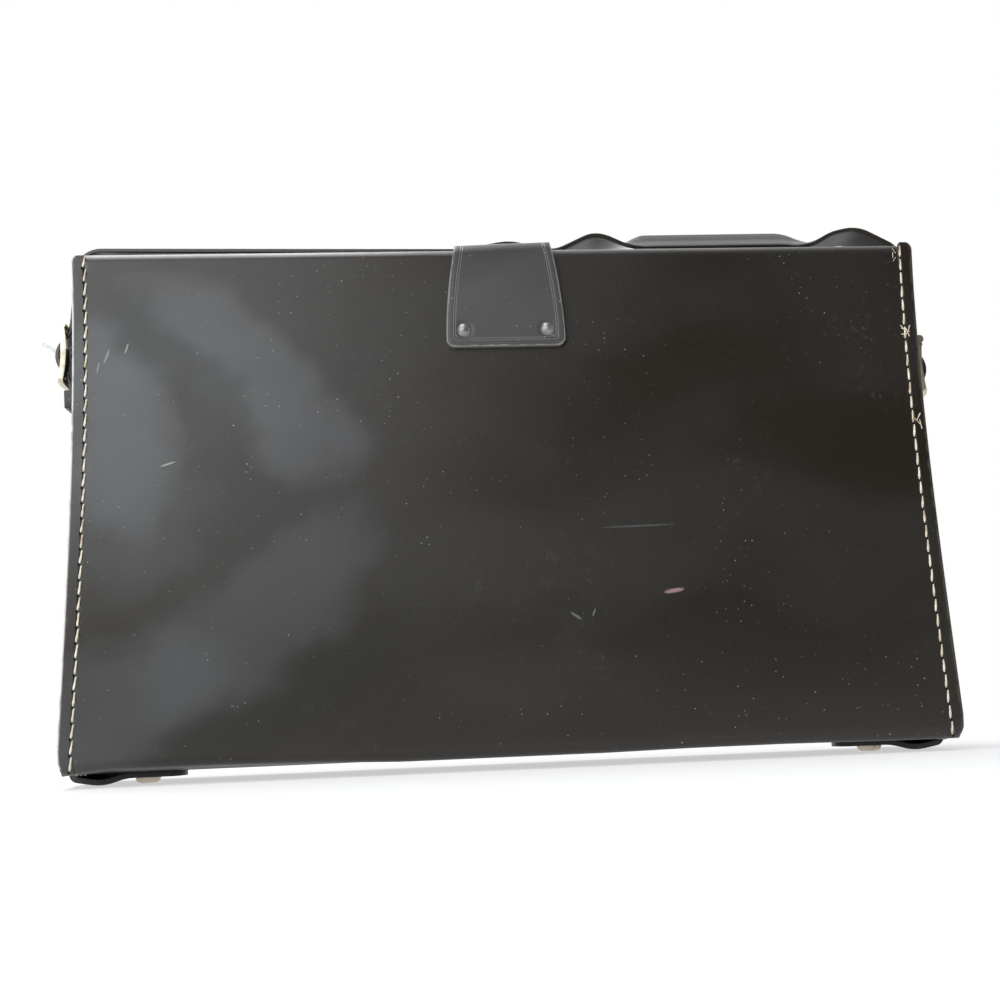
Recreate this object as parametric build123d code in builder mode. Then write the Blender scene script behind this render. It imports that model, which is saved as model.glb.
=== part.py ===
from build123d import *
import os
from math import cos, radians, sin

os.makedirs("parts", exist_ok=True)

# Frame: millimetres, +Z up, +X to the right seen from behind, back panel at -Y.
# The origin lies midway between the two foot studs, on the plane they stand on.

# Case
case_width = 320.0
case_height = 188.0
case_depth = 64.0
leather = 2.2
edge_roll = 4.5
waist = 2.2
board = 1.8
cloth = 0.8
gap = 0.3
touch = 0.05

# End panels
gusset_leather = 1.8
gusset_flange = 12.0
gusset_corner = 5.0
margin_proud = 2.4

# Lid
fold_run = 2.0
hinge_margin = 5.0
ear_corner = 3.0
lid_corner = 5.5
flap_clear = 7.0
flap_corner = 14.0
mouth_play = 1.5
board_inset = 3.0

# Closure tab
tab_leather = 2.0
tab_fold_run = 3.0
tab_neck = 36.6
tab_foot = 44.5
tab_drop = 38.4
tab_corner = 3.0
tab_rivet_drop = 32.0
tab_rivet_spread = 31.2
tongue_neck = 36.0

# Rivets and studs
rivet_head = 5.3
rivet_dome = 1.5
rivet_shank = 2.6
washer_diameter = 8.0
washer_thickness = 0.6
hole_play = 0.1
stud_head = 9.0
stud_flat = 5.0
stud_height = 2.2
stud_inset = 24.0

# Turn lock
lock_drop = 106.0
slot_width = 20.0
slot_height = 10.5
slot_round = 4.0
slot_margin = 1.0
plate_rim = 5.0
plate_thickness = 1.0
plate_round = 0.7
ring_thickness = 0.6
base_width = 30.0
base_height = 22.0
base_thickness = 2.0
base_corner = 4.0
base_bevel = 0.5
base_rivet_spread = 22.0
base_rivet_diameter = 3.4
stem_diameter = 4.0
stem_play = 0.05
flange_diameter = 6.0
flange_thickness = 0.5
bar_length = 17.0
bar_height = 4.4
bar_thickness = 3.5
bar_standoff = 0.5
bar_round = 1.0
bar_top_play = 1.2

# Straps
strap_width = 16.0
strap_leather = 1.6
end_strap_leather = 2.0
tail_length = 38.0
tail_bow = 2.5
tail_bow_inset = 10.0
tail_flat = 6.5
tail_bend = 12.0
tail_corner = 6.0
corner_stand = 0.5
corner_drop = 0.6
corner_bend = 1.6
settle_height = 24.0
settle_bend = 20.0
swing_drop = 80.0
swing_top_run = 9.0
swing_corner = 6.0
swing_head = 8.0
swing_head_height = 1.5
swing_shank = 4.0
swing_play = 0.08

# Buckles
buckle_drop = {"left": 30.2, "right": 42.0}
prong_rest = {"left": 31.7, "right": 63.0}
bar_stand = 7.8
bar_diameter = 1.9
frame_half = 11.0
frame_bow = 1.0
frame_width = 22.0
frame_rail = 2.4
frame_thickness = 1.9
heel_height = 2.2
roller_diameter = 3.2
roller_play = 0.08
chape_leather = 1.3
chape_play = 0.08
chape_slot = 4.4
chape_slot_height = 7.0
chape_slot_depth = 5.6
chape_lift = 6.0
chape_mid_stand = 3.2
chape_mid_drop = 13.0
chape_join = 0.9
chape_bend = 12.0
prong_length = 13.8
prong_width = 2.2
prong_thickness = 1.4
prong_ring = 0.9
prong_tip = 0.9
prong_slot = 3.0
prong_slot_low = 1.5
prong_slot_high = 7.5
keeper_drop = 18.0
keeper_height = 7.0
keeper_leather = 1.4
keeper_play = 0.15
billet_gap = 0.1
billet_tip = 28.0
billet_corner = 6.0
billet_bend = 6.0
heel_tuck = 6.80
roller_tuck = 6.2
billet_crown = 4.5
crown_bend = 8.0
heel_pass = 9.4
roller_pass = 5.6
roller_bend = 12.0

# Carrying strap over the lid: for each bend its share of the way to the end, its height and its radius
strap_bends = [
    (-1.025, 13.4, 9.0),
    (-0.0875, 11.4, 40.0),
    (0.03125, 14.4, 20.0),
    (0.14375, 9.8, 12.0),
    (0.25, 18.0, 12.0),
    (0.4, 16.4, 40.0),
    (0.825, 17.0, 40.0),
    (0.9375, 18.6, 12.0),
    (1.035, 9.0, 8.0),
]

# Inside
divider_x = 60.0
divider_thickness = 5.0
divider_drop = 22.0
scoop_width = 44.0
scoop_depth = 16.0
scoop_round = 14.0
divider_round = 1.25

# Places worked out from the sizes above
bottom_z = end_strap_leather + stud_height
top_z = bottom_z + case_height
back_y = -case_depth / 2
front_y = case_depth / 2
end_x = case_width / 2
wall_x = end_x - margin_proud
rim_z = top_z - leather - gap
fold_z = top_z - edge_roll - fold_run
fold_y = back_y + edge_roll + fold_run
front_top_z = rim_z - board
lid_half = end_x - hinge_margin - gap
board_half = wall_x - gusset_flange
flap_y = front_y + gap + cloth
tab_y = flap_y + leather
stack_inner = leather + board + cloth
pan_depth = case_depth - 2 * leather
pan_height = rim_z - bottom_z - leather
pan_middle = rim_z - pan_height / 2
roller_length = frame_width - 2 * frame_rail - gap
chape_stack = 2 * chape_leather
keeper_room = chape_stack + billet_gap + strap_leather + 2 * keeper_play


def save(part, label):
    """Label one finished piece and write it."""
    part.label = label
    export_step(part, "parts/" + label + ".step")


def rivet(head_diameter, dome, shank_diameter, grip, flat=0.0):
    """A rivet along +Z: its head above the origin, its shank below, and a washer at the far end."""
    with BuildPart() as body:
        with BuildSketch(Plane.XZ):
            with BuildLine():
                Line((0, 0), (head_diameter / 2, 0))
                TangentArc((flat / 2, dome), (head_diameter / 2, 0), tangent=(1, 0))
                if flat > 0:
                    Line((flat / 2, dome), (0, dome))
                Line((0, dome), (0, 0))
            make_face()
        revolve(axis=Axis.Z)
        with BuildSketch(Plane.XY):
            Circle(shank_diameter / 2)
        extrude(amount=-(grip + washer_thickness))
        with BuildSketch(Plane.XY.offset(-grip)):
            Circle(washer_diameter / 2)
        extrude(amount=-washer_thickness)
    return body.part


# Shell: one sheet, back panel, bottom and front panel, with the ears beside the lid's fold
with BuildPart() as shell_wrap:
    with BuildSketch(Plane.YZ.offset(-end_x)):
        with BuildLine():
            outer = FilletPolyline(
                (back_y, rim_z),
                (back_y, bottom_z),
                (front_y, bottom_z),
                (front_y, front_top_z),
                radius=edge_roll,
            )
            inner = FilletPolyline(
                (back_y + leather, rim_z),
                (back_y + leather, bottom_z + leather),
                (front_y - leather, bottom_z + leather),
                (front_y - leather, front_top_z),
                radius=edge_roll - leather,
            )
            Line(outer @ 0, inner @ 0)
            Line(outer @ 1, inner @ 1)
        make_face()
    extrude(amount=case_width)
    for side in (-1, 1):
        with BuildSketch(Plane.XZ):
            with BuildLine():
                edge = ThreePointArc(
                    (side * end_x, bottom_z),
                    (side * (end_x - waist), (bottom_z + rim_z) / 2),
                    (side * end_x, rim_z),
                )
                Polyline(
                    edge @ 1,
                    (side * (end_x + leather), rim_z),
                    (side * (end_x + leather), bottom_z),
                    edge @ 0,
                )
            make_face()
        extrude(amount=case_depth, both=True, mode=Mode.SUBTRACT)
    with Locations((0, back_y, rim_z)):
        Box(2 * (lid_half + gap), 2 * edge_roll, 2 * (rim_z - fold_z), mode=Mode.SUBTRACT)
    ears = shell_wrap.edges().filter_by(Axis.Y).group_by(Axis.Z)[-1]
    fillet([edge for edge in ears if abs(edge.center().X) > end_x - gap and edge.center().Y < 0], ear_corner)
    with Locations(Plane.XZ.offset(-back_y)):
        with Locations(*[(side * tab_rivet_spread / 2, top_z - tab_rivet_drop) for side in (-1, 1)]):
            Cylinder(rivet_shank / 2 + hole_play, 4 * leather, mode=Mode.SUBTRACT)
    with Locations(Plane.XZ.offset(-front_y)):
        with Locations(*[(side * base_rivet_spread / 2, top_z - lock_drop) for side in (-1, 1)]):
            Cylinder(rivet_shank / 2 + hole_play, 4 * leather, mode=Mode.SUBTRACT)
    with Locations(*[(side * (end_x - stud_inset), 0, bottom_z) for side in (-1, 1)]):
        Cylinder(rivet_shank / 2 + hole_play, 4 * leather, mode=Mode.SUBTRACT)
save(shell_wrap.part, "shell_wrap")

# End panels: shallow pans with their flanges turned in, open at the mouth
for name, side in (("left", -1), ("right", 1)):
    with BuildPart() as gusset:
        with BuildSketch(Plane.YZ.offset(side * wall_x)):
            with Locations((0, pan_middle)):
                RectangleRounded(pan_depth, pan_height, gusset_corner)
        extrude(amount=-side * gusset_flange)
        with BuildSketch(Plane.YZ.offset(side * (wall_x - gusset_leather))):
            with Locations((0, pan_middle)):
                RectangleRounded(
                    pan_depth - 2 * gusset_leather,
                    pan_height - 2 * gusset_leather,
                    gusset_corner - gusset_leather,
                )
        extrude(amount=-side * gusset_flange, mode=Mode.SUBTRACT)
        with Locations((side * (wall_x - gusset_leather - gusset_flange / 2), 0, rim_z)):
            Box(gusset_flange, pan_depth - 2 * gusset_leather, 2 * gusset_corner, mode=Mode.SUBTRACT)
        with Locations(Plane.YZ.offset(side * wall_x)):
            with Locations((0, top_z - swing_drop)):
                Cylinder(swing_shank / 2 + hole_play, 4 * gusset_leather, mode=Mode.SUBTRACT)
    save(gusset.part, "gusset_" + name)

# Stiffening boards behind the leather
floor_z = bottom_z + leather
with BuildPart() as back_board:
    with BuildSketch(Plane.XZ.offset(-back_y - leather)):
        with Locations((0, (bottom_z + edge_roll + fold_z) / 2)):
            Rectangle(2 * board_half, fold_z - bottom_z - edge_roll)
        with Locations(*[(side * tab_rivet_spread / 2, top_z - tab_rivet_drop) for side in (-1, 1)]):
            Circle(rivet_shank / 2 + hole_play, mode=Mode.SUBTRACT)
    extrude(amount=-board)
save(back_board.part, "back_board")

with BuildPart() as front_board:
    with BuildSketch(Plane.XZ.offset(-front_y + leather)):
        with Locations((0, (bottom_z + edge_roll + front_top_z) / 2)):
            Rectangle(2 * board_half, front_top_z - bottom_z - edge_roll)
        with Locations(*[(side * base_rivet_spread / 2, top_z - lock_drop) for side in (-1, 1)]):
            Circle(rivet_shank / 2 + hole_play, mode=Mode.SUBTRACT)
    extrude(amount=board)
save(front_board.part, "front_board")

with BuildPart() as bottom_board:
    with BuildSketch(Plane.XY.offset(floor_z)):
        Rectangle(2 * board_half, case_depth - 2 * edge_roll)
        with Locations(*[(side * (end_x - stud_inset), 0) for side in (-1, 1)]):
            Circle(rivet_shank / 2 + hole_play, mode=Mode.SUBTRACT)
    extrude(amount=board)
save(bottom_board.part, "bottom_board")

for name, side in (("left", -1), ("right", 1)):
    with BuildPart() as end_board:
        with BuildSketch(Plane.YZ.offset(side * (wall_x - gusset_leather))):
            with Locations((0, pan_middle)):
                RectangleRounded(
                    pan_depth - 2 * gusset_leather,
                    pan_height - 2 * gusset_leather,
                    gusset_corner - gusset_leather,
                )
            with Locations((0, top_z - swing_drop)):
                Circle(swing_shank / 2 + hole_play, mode=Mode.SUBTRACT)
        extrude(amount=-side * board)
    save(end_board.part, "end_board_" + name)

# Cloth lining: an open tray inside the boards
lining_floor = floor_z + board
lining_x = wall_x - gusset_leather - board
lining_y = case_depth / 2 - leather - board
lining_top = rim_z - gusset_corner - gap
lining_corner = gusset_corner - gusset_leather
with BuildPart() as lining:
    with BuildSketch(Plane.XY.offset(lining_floor)):
        Rectangle(2 * lining_x, 2 * lining_y)
    extrude(amount=lining_top - lining_floor)
    fillet(lining.edges().filter_by(Axis.X).group_by(Axis.Z)[0], lining_corner)
    offset(amount=-cloth, openings=lining.faces().sort_by(Axis.Z)[-1], kind=Kind.INTERSECTION)
    with Locations(Plane.XZ.offset(lining_y)):
        with Locations(*[(side * tab_rivet_spread / 2, top_z - tab_rivet_drop) for side in (-1, 1)]):
            Cylinder(rivet_shank / 2 + hole_play, 4 * cloth, mode=Mode.SUBTRACT)
    with Locations(Plane.XZ.offset(-lining_y)):
        with Locations(*[(side * base_rivet_spread / 2, top_z - lock_drop) for side in (-1, 1)]):
            Cylinder(rivet_shank / 2 + hole_play, 4 * cloth, mode=Mode.SUBTRACT)
    with Locations(*[(side * lining_x, 0, top_z - swing_drop) for side in (-1, 1)]):
        Cylinder(swing_shank / 2 + hole_play, 4 * cloth, rotation=(0, 90, 0), mode=Mode.SUBTRACT)
    with Locations(*[(side * (end_x - stud_inset), 0, lining_floor) for side in (-1, 1)]):
        Cylinder(rivet_shank / 2 + hole_play, 4 * cloth, mode=Mode.SUBTRACT)
save(lining.part, "lining")

# Divider between the camera bay and the accessory bay, with a finger scoop
with BuildPart() as divider:
    divider_top = rim_z - divider_drop
    with BuildSketch(Plane.YZ.offset(divider_x - divider_thickness / 2)) as divider_face:
        with Locations((0, (lining_floor + cloth + divider_top) / 2)):
            Rectangle(2 * (lining_y - cloth) - 2 * hole_play, divider_top - lining_floor - cloth)
        with Locations((0, divider_top)):
            RectangleRounded(scoop_width, 2 * scoop_depth, scoop_round, mode=Mode.SUBTRACT)
    extrude(amount=divider_thickness)
    fillet(divider.edges().filter_by(Axis.X).group_by(Axis.Z)[0], lining_corner)
    fillet(divider.faces().sort_by(Axis.X)[0].edges().group_by(Axis.Z)[-1], divider_round)
    fillet(divider.faces().sort_by(Axis.X)[-1].edges().group_by(Axis.Z)[-1], divider_round)
save(divider.part, "divider")

# Closure tab, its root on the back panel: sides that flare down to rounded corners
tab_fold_z = top_z - edge_roll - tab_fold_run
tab_foot_z = top_z - tab_drop
with BuildPart() as tab_back:
    with BuildSketch(Plane.XZ.offset(-back_y)):
        with BuildLine():
            for side in (-1, 1):
                TangentArc(
                    (side * tab_foot / 2, tab_foot_z), (side * tab_neck / 2, tab_fold_z), tangent=(0, 1)
                )
            Line((-tab_foot / 2, tab_foot_z), (tab_foot / 2, tab_foot_z))
            Line((-tab_neck / 2, tab_fold_z), (tab_neck / 2, tab_fold_z))
        make_face()
        with Locations(*[(side * tab_rivet_spread / 2, top_z - tab_rivet_drop) for side in (-1, 1)]):
            Circle(rivet_shank / 2 + hole_play, mode=Mode.SUBTRACT)
    extrude(amount=tab_leather)
    fillet(tab_back.edges().filter_by(Axis.Y).group_by(Axis.Z)[0], tab_corner)
save(tab_back.part, "tab_back")

tab_rivet = rivet(rivet_head, rivet_dome, rivet_shank, tab_leather + stack_inner)
with BuildPart() as tab_back_rivets:
    for side in (-1, 1):
        place = (side * tab_rivet_spread / 2, back_y - tab_leather, top_z - tab_rivet_drop)
        with Locations(Plane(origin=place, z_dir=(0, -1, 0))):
            add(tab_rivet)
save(tab_back_rivets.part, "tab_back_rivets")

# Leather that bends when the lid opens: the lid's hinge, and the tab over it
with BuildPart() as lid_fold:
    with BuildLine() as fold_path:
        FilletPolyline(
            (0, back_y + leather / 2, fold_z),
            (0, back_y + leather / 2, top_z - leather / 2),
            (0, fold_y, top_z - leather / 2),
            radius=edge_roll - leather / 2,
        )
    with BuildSketch(Plane(origin=fold_path.line @ 0, x_dir=(1, 0, 0), z_dir=(0, 0, 1))):
        Rectangle(2 * lid_half, leather)
    sweep(path=fold_path.line)
save(lid_fold.part, "lid_fold")

with BuildPart() as tab_fold:
    with BuildLine() as tab_path:
        FilletPolyline(
            (0, back_y - tab_leather / 2, tab_fold_z),
            (0, back_y - tab_leather / 2, top_z + tab_leather / 2),
            (0, back_y + edge_roll + tab_fold_run, top_z + tab_leather / 2),
            radius=edge_roll + tab_leather / 2,
        )
    with BuildSketch(Plane(origin=tab_path.line @ 0, x_dir=(1, 0, 0), z_dir=(0, 0, 1))):
        Rectangle(tab_neck, tab_leather)
    sweep(path=tab_path.line)
save(tab_fold.part, "tab_fold")

# Lid: top and front flap in one sheet
flap_z = top_z - lock_drop + base_height / 2 + flap_clear
with BuildPart() as lid_cover:
    with BuildSketch(Plane.YZ.offset(-lid_half)):
        with BuildLine():
            outer = FilletPolyline(
                (fold_y + gap, top_z), (tab_y, top_z), (tab_y, flap_z), radius=lid_corner
            )
            inner = FilletPolyline(
                (fold_y + gap, top_z - leather),
                (flap_y, top_z - leather),
                (flap_y, flap_z),
                radius=lid_corner - leather,
            )
            Line(outer @ 0, inner @ 0)
            Line(outer @ 1, inner @ 1)
        make_face()
    extrude(amount=2 * lid_half)
    fillet(lid_cover.edges().filter_by(Axis.Y).group_by(Axis.Z)[0], flap_corner)
    with Locations(Plane.XZ.offset(-tab_y)):
        with Locations(*[(side * tab_rivet_spread / 2, top_z - tab_rivet_drop) for side in (-1, 1)]):
            Cylinder(rivet_shank / 2 + hole_play, 4 * leather, mode=Mode.SUBTRACT)
save(lid_cover.part, "lid_cover")

lid_board_z = top_z - leather - board
lid_board_front = lining_y - cloth - mouth_play
with BuildPart() as lid_board:
    with BuildSketch(Plane.XY.offset(lid_board_z)):
        with Locations((0, (fold_y + board_inset + lid_board_front) / 2)):
            Rectangle(2 * (board_half - mouth_play), lid_board_front - fold_y - board_inset)
    extrude(amount=board)
save(lid_board.part, "lid_board")

with BuildPart() as lid_lining:
    with BuildSketch(Plane.XY.offset(lid_board_z - cloth)):
        with Locations((0, (fold_y + board_inset + lid_board_front) / 2)):
            Rectangle(2 * (board_half - mouth_play), lid_board_front - fold_y - board_inset)
    extrude(amount=cloth)
save(lid_lining.part, "lid_lining")

flap_lining_top = top_z - lid_corner - cloth
flap_lining_low = flap_z + board_inset
with BuildPart() as flap_lining:
    with BuildSketch(Plane.XZ.offset(-flap_y)):
        with Locations((0, (flap_lining_top + flap_lining_low) / 2)):
            Rectangle(2 * (lid_half - board_inset), flap_lining_top - flap_lining_low)
        with Locations(*[(side * tab_rivet_spread / 2, top_z - tab_rivet_drop) for side in (-1, 1)]):
            Circle(washer_diameter / 2 + hole_play, mode=Mode.SUBTRACT)
    extrude(amount=cloth)
    fillet(flap_lining.edges().filter_by(Axis.Y).group_by(Axis.Z)[0], flap_corner - board_inset)
save(flap_lining.part, "flap_lining")

# Closure tab over the lid and down the front, ending in the slotted plate of the lock
stem_z = top_z - lock_drop
slot_z = stem_z + bar_height / 2 + bar_top_play - slot_height / 2
sleeve = ring_thickness
tongue_end = slot_z - slot_height / 2 - 2 * plate_rim
front_start = top_z - lid_corner
with BuildPart() as tab_top:
    with BuildSketch(Plane.YZ.offset(-tab_neck / 2)):
        with BuildLine():
            outer = FilletPolyline(
                (back_y + edge_roll + tab_fold_run + gap, top_z + tab_leather),
                (tab_y + tab_leather, top_z + tab_leather),
                (tab_y + tab_leather, front_start),
                radius=lid_corner + tab_leather - touch,
            )
            inner = FilletPolyline(
                (back_y + edge_roll + tab_fold_run + gap, top_z),
                (tab_y, top_z),
                (tab_y, front_start),
                radius=lid_corner - touch,
            )
            Line(outer @ 0, inner @ 0)
            Line(outer @ 1, inner @ 1)
        make_face()
    extrude(amount=tab_neck)
    with BuildSketch(Plane.XZ.offset(-tab_y)):
        with BuildLine():
            for side in (-1, 1):
                TangentArc(
                    (side * tab_foot / 2, tab_foot_z), (side * tab_neck / 2, front_start), tangent=(0, 1)
                )
                TangentArc(
                    (side * tab_foot / 2, tab_foot_z), (side * tongue_neck / 2, slot_z), tangent=(0, -1)
                )
            ThreePointArc((-tongue_neck / 2, slot_z), (0, tongue_end), (tongue_neck / 2, slot_z))
            Line((-tab_neck / 2, front_start), (tab_neck / 2, front_start))
        make_face()
        with Locations(*[(side * tab_rivet_spread / 2, top_z - tab_rivet_drop) for side in (-1, 1)]):
            Circle(rivet_shank / 2 + hole_play, mode=Mode.SUBTRACT)
        with Locations((0, slot_z)):
            RectangleRounded(
                slot_width + 2 * sleeve,
                slot_height + 2 * sleeve,
                slot_round + sleeve,
                mode=Mode.SUBTRACT,
            )
    extrude(amount=-tab_leather)
save(tab_top.part, "tab_top")

flap_rivet = rivet(rivet_head, rivet_dome, rivet_shank, tab_leather + leather)
with BuildPart() as tab_front_rivets:
    for side in (-1, 1):
        place = (side * tab_rivet_spread / 2, tab_y + tab_leather, top_z - tab_rivet_drop)
        with Locations(Plane(origin=place, z_dir=(0, 1, 0))):
            add(flap_rivet)
save(tab_front_rivets.part, "tab_front_rivets")

# Lock: slotted plate with its sleeve, clinch ring, base plate, rivets and turning bar
with BuildPart() as lock_plate:
    with BuildSketch(Plane.XZ.offset(-tab_y - tab_leather)):
        with Locations((0, slot_z)):
            RectangleRounded(
                slot_width + 2 * plate_rim, slot_height + 2 * plate_rim, slot_round + plate_rim
            )
    extrude(amount=-plate_thickness)
    rim = lock_plate.faces().sort_by(Axis.Y)[-1].edges()
    fillet(rim, plate_round)
    with BuildSketch(Plane.XZ.offset(-tab_y - tab_leather)):
        with Locations((0, slot_z)):
            RectangleRounded(
                slot_width + 2 * sleeve, slot_height + 2 * sleeve, slot_round + sleeve
            )
    extrude(amount=tab_leather + ring_thickness)
    with BuildSketch(Plane.XZ.offset(-tab_y)):
        with Locations((0, slot_z)):
            RectangleRounded(slot_width, slot_height, slot_round)
    extrude(amount=case_depth, both=True, mode=Mode.SUBTRACT)
save(lock_plate.part, "lock_plate")

with BuildPart() as lock_ring:
    with BuildSketch(Plane.XZ.offset(-tab_y)):
        with Locations((0, slot_z)):
            RectangleRounded(
                slot_width + 2 * plate_rim - slot_margin,
                slot_height + 2 * plate_rim - slot_margin,
                slot_round + plate_rim - slot_margin / 2,
            )
            RectangleRounded(
                slot_width + 2 * sleeve,
                slot_height + 2 * sleeve,
                slot_round + sleeve,
                mode=Mode.SUBTRACT,
            )
    extrude(amount=ring_thickness)
save(lock_ring.part, "lock_ring")

with BuildPart() as lock_base:
    with BuildSketch(Plane.XZ.offset(-front_y)):
        with Locations((0, stem_z)):
            RectangleRounded(base_width, base_height, base_corner)
            Circle(stem_diameter / 2 + stem_play, mode=Mode.SUBTRACT)
        with Locations(*[(side * base_rivet_spread / 2, stem_z) for side in (-1, 1)]):
            Circle(rivet_shank / 2 + hole_play, mode=Mode.SUBTRACT)
    extrude(amount=-base_thickness)
    chamfer(lock_base.faces().sort_by(Axis.Y)[-1].edges().filter_by(GeomType.LINE), base_bevel)
    with BuildSketch(Plane.XZ.offset(-front_y)):
        with Locations((0, stem_z)):
            Circle(flange_diameter / 2 + hole_play)
    extrude(amount=-flange_thickness - 3 * stem_play, mode=Mode.SUBTRACT)
save(lock_base.part, "lock_base")

base_rivet = rivet(base_rivet_diameter, gap, rivet_shank, base_thickness + stack_inner)
with BuildPart() as lock_rivets:
    for side in (-1, 1):
        place = (side * base_rivet_spread / 2, front_y + base_thickness, stem_z)
        with Locations(Plane(origin=place, z_dir=(0, 1, 0))):
            add(base_rivet)
save(lock_rivets.part, "lock_rivets")

bar_y = tab_y + tab_leather + plate_thickness + bar_standoff
with BuildPart() as lock_knob:
    with BuildSketch(Plane.XZ.offset(-bar_y)):
        with Locations((0, stem_z)):
            SlotOverall(bar_length, bar_height)
    extrude(amount=-bar_thickness)
    fillet(lock_knob.faces().sort_by(Axis.Y)[-1].edges(), bar_round)
    with BuildSketch(Plane.XZ.offset(-front_y - stem_play)):
        with Locations((0, stem_z)):
            Circle(stem_diameter / 2)
    extrude(amount=-(bar_y - front_y - stem_play))
    with BuildSketch(Plane.XZ.offset(-front_y - stem_play)):
        with Locations((0, stem_z)):
            Circle(flange_diameter / 2)
    extrude(amount=-flange_thickness)
save(lock_knob.part, "lock_knob")

# Feet and swing pivots at each end
swing_z = top_z - swing_drop
strap_seat = wall_x + touch
chape_seat = strap_seat + end_strap_leather + gap
swing_head_x = chape_seat + chape_stack + gap
stud = rivet(stud_head, stud_height, rivet_shank, end_strap_leather + leather + board + cloth, stud_flat)
swing_rivet = rivet(swing_head, swing_head_height, swing_shank, swing_head_x - lining_x + cloth)
for name, side in (("left", -1), ("right", 1)):
    # End strap: from the studded tail under the bottom, round the corner and up to the pivot
    with BuildPart() as end_strap:
        half = end_strap_leather / 2
        with BuildLine() as end_path:
            FilletPolyline(
                (side * (end_x - tail_length), 0, bottom_z - half),
                (side * (end_x - stud_inset + tail_flat), 0, bottom_z - half),
                (side * (end_x - tail_bow_inset), 0, bottom_z - half - tail_bow),
                (side * (end_x + corner_stand + half), 0, bottom_z - half - corner_drop),
                (side * (strap_seat + half), 0, bottom_z + settle_height),
                (side * (strap_seat + half), 0, swing_z + swing_top_run),
                radius=[tail_bend, tail_bend, corner_bend, settle_bend],
            )
        with BuildSketch(Plane(origin=end_path.line @ 0, x_dir=(0, 1, 0), z_dir=end_path.line % 0)):
            Rectangle(strap_width, end_strap_leather)
        sweep(path=end_path.line)
        fillet(end_strap.edges().filter_by(Axis.Z).sort_by(Axis.X)[::side][:2], tail_corner)
        fillet(end_strap.edges().filter_by(Axis.X).group_by(Axis.Z)[-1], swing_corner)
        with Locations((side * (end_x - stud_inset), 0, bottom_z - half)):
            Cylinder(rivet_shank / 2 + hole_play, 2 * end_strap_leather, mode=Mode.SUBTRACT)
        with Locations((side * strap_seat, 0, swing_z)):
            Cylinder(
                swing_shank / 2 + hole_play, 4 * end_strap_leather, rotation=(0, 90, 0), mode=Mode.SUBTRACT
            )
    save(end_strap.part, "end_strap_" + name)

    with BuildPart() as tail_stud:
        place = (side * (end_x - stud_inset), 0, bottom_z - end_strap_leather)
        with Locations(Plane(origin=place, z_dir=(0, 0, -1))):
            add(stud)
    save(tail_stud.part, "tail_stud_" + name)

    with BuildPart() as pivot:
        with Locations(Plane(origin=(side * swing_head_x, 0, swing_z), z_dir=(side, 0, 0))):
            add(swing_rivet)
    save(pivot.part, "swing_rivet_" + name)


def at(side, stand, height):
    """A point at one end of the case, by its distance off the end and its height."""
    return (side * (end_x + stand), 0, height)


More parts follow.
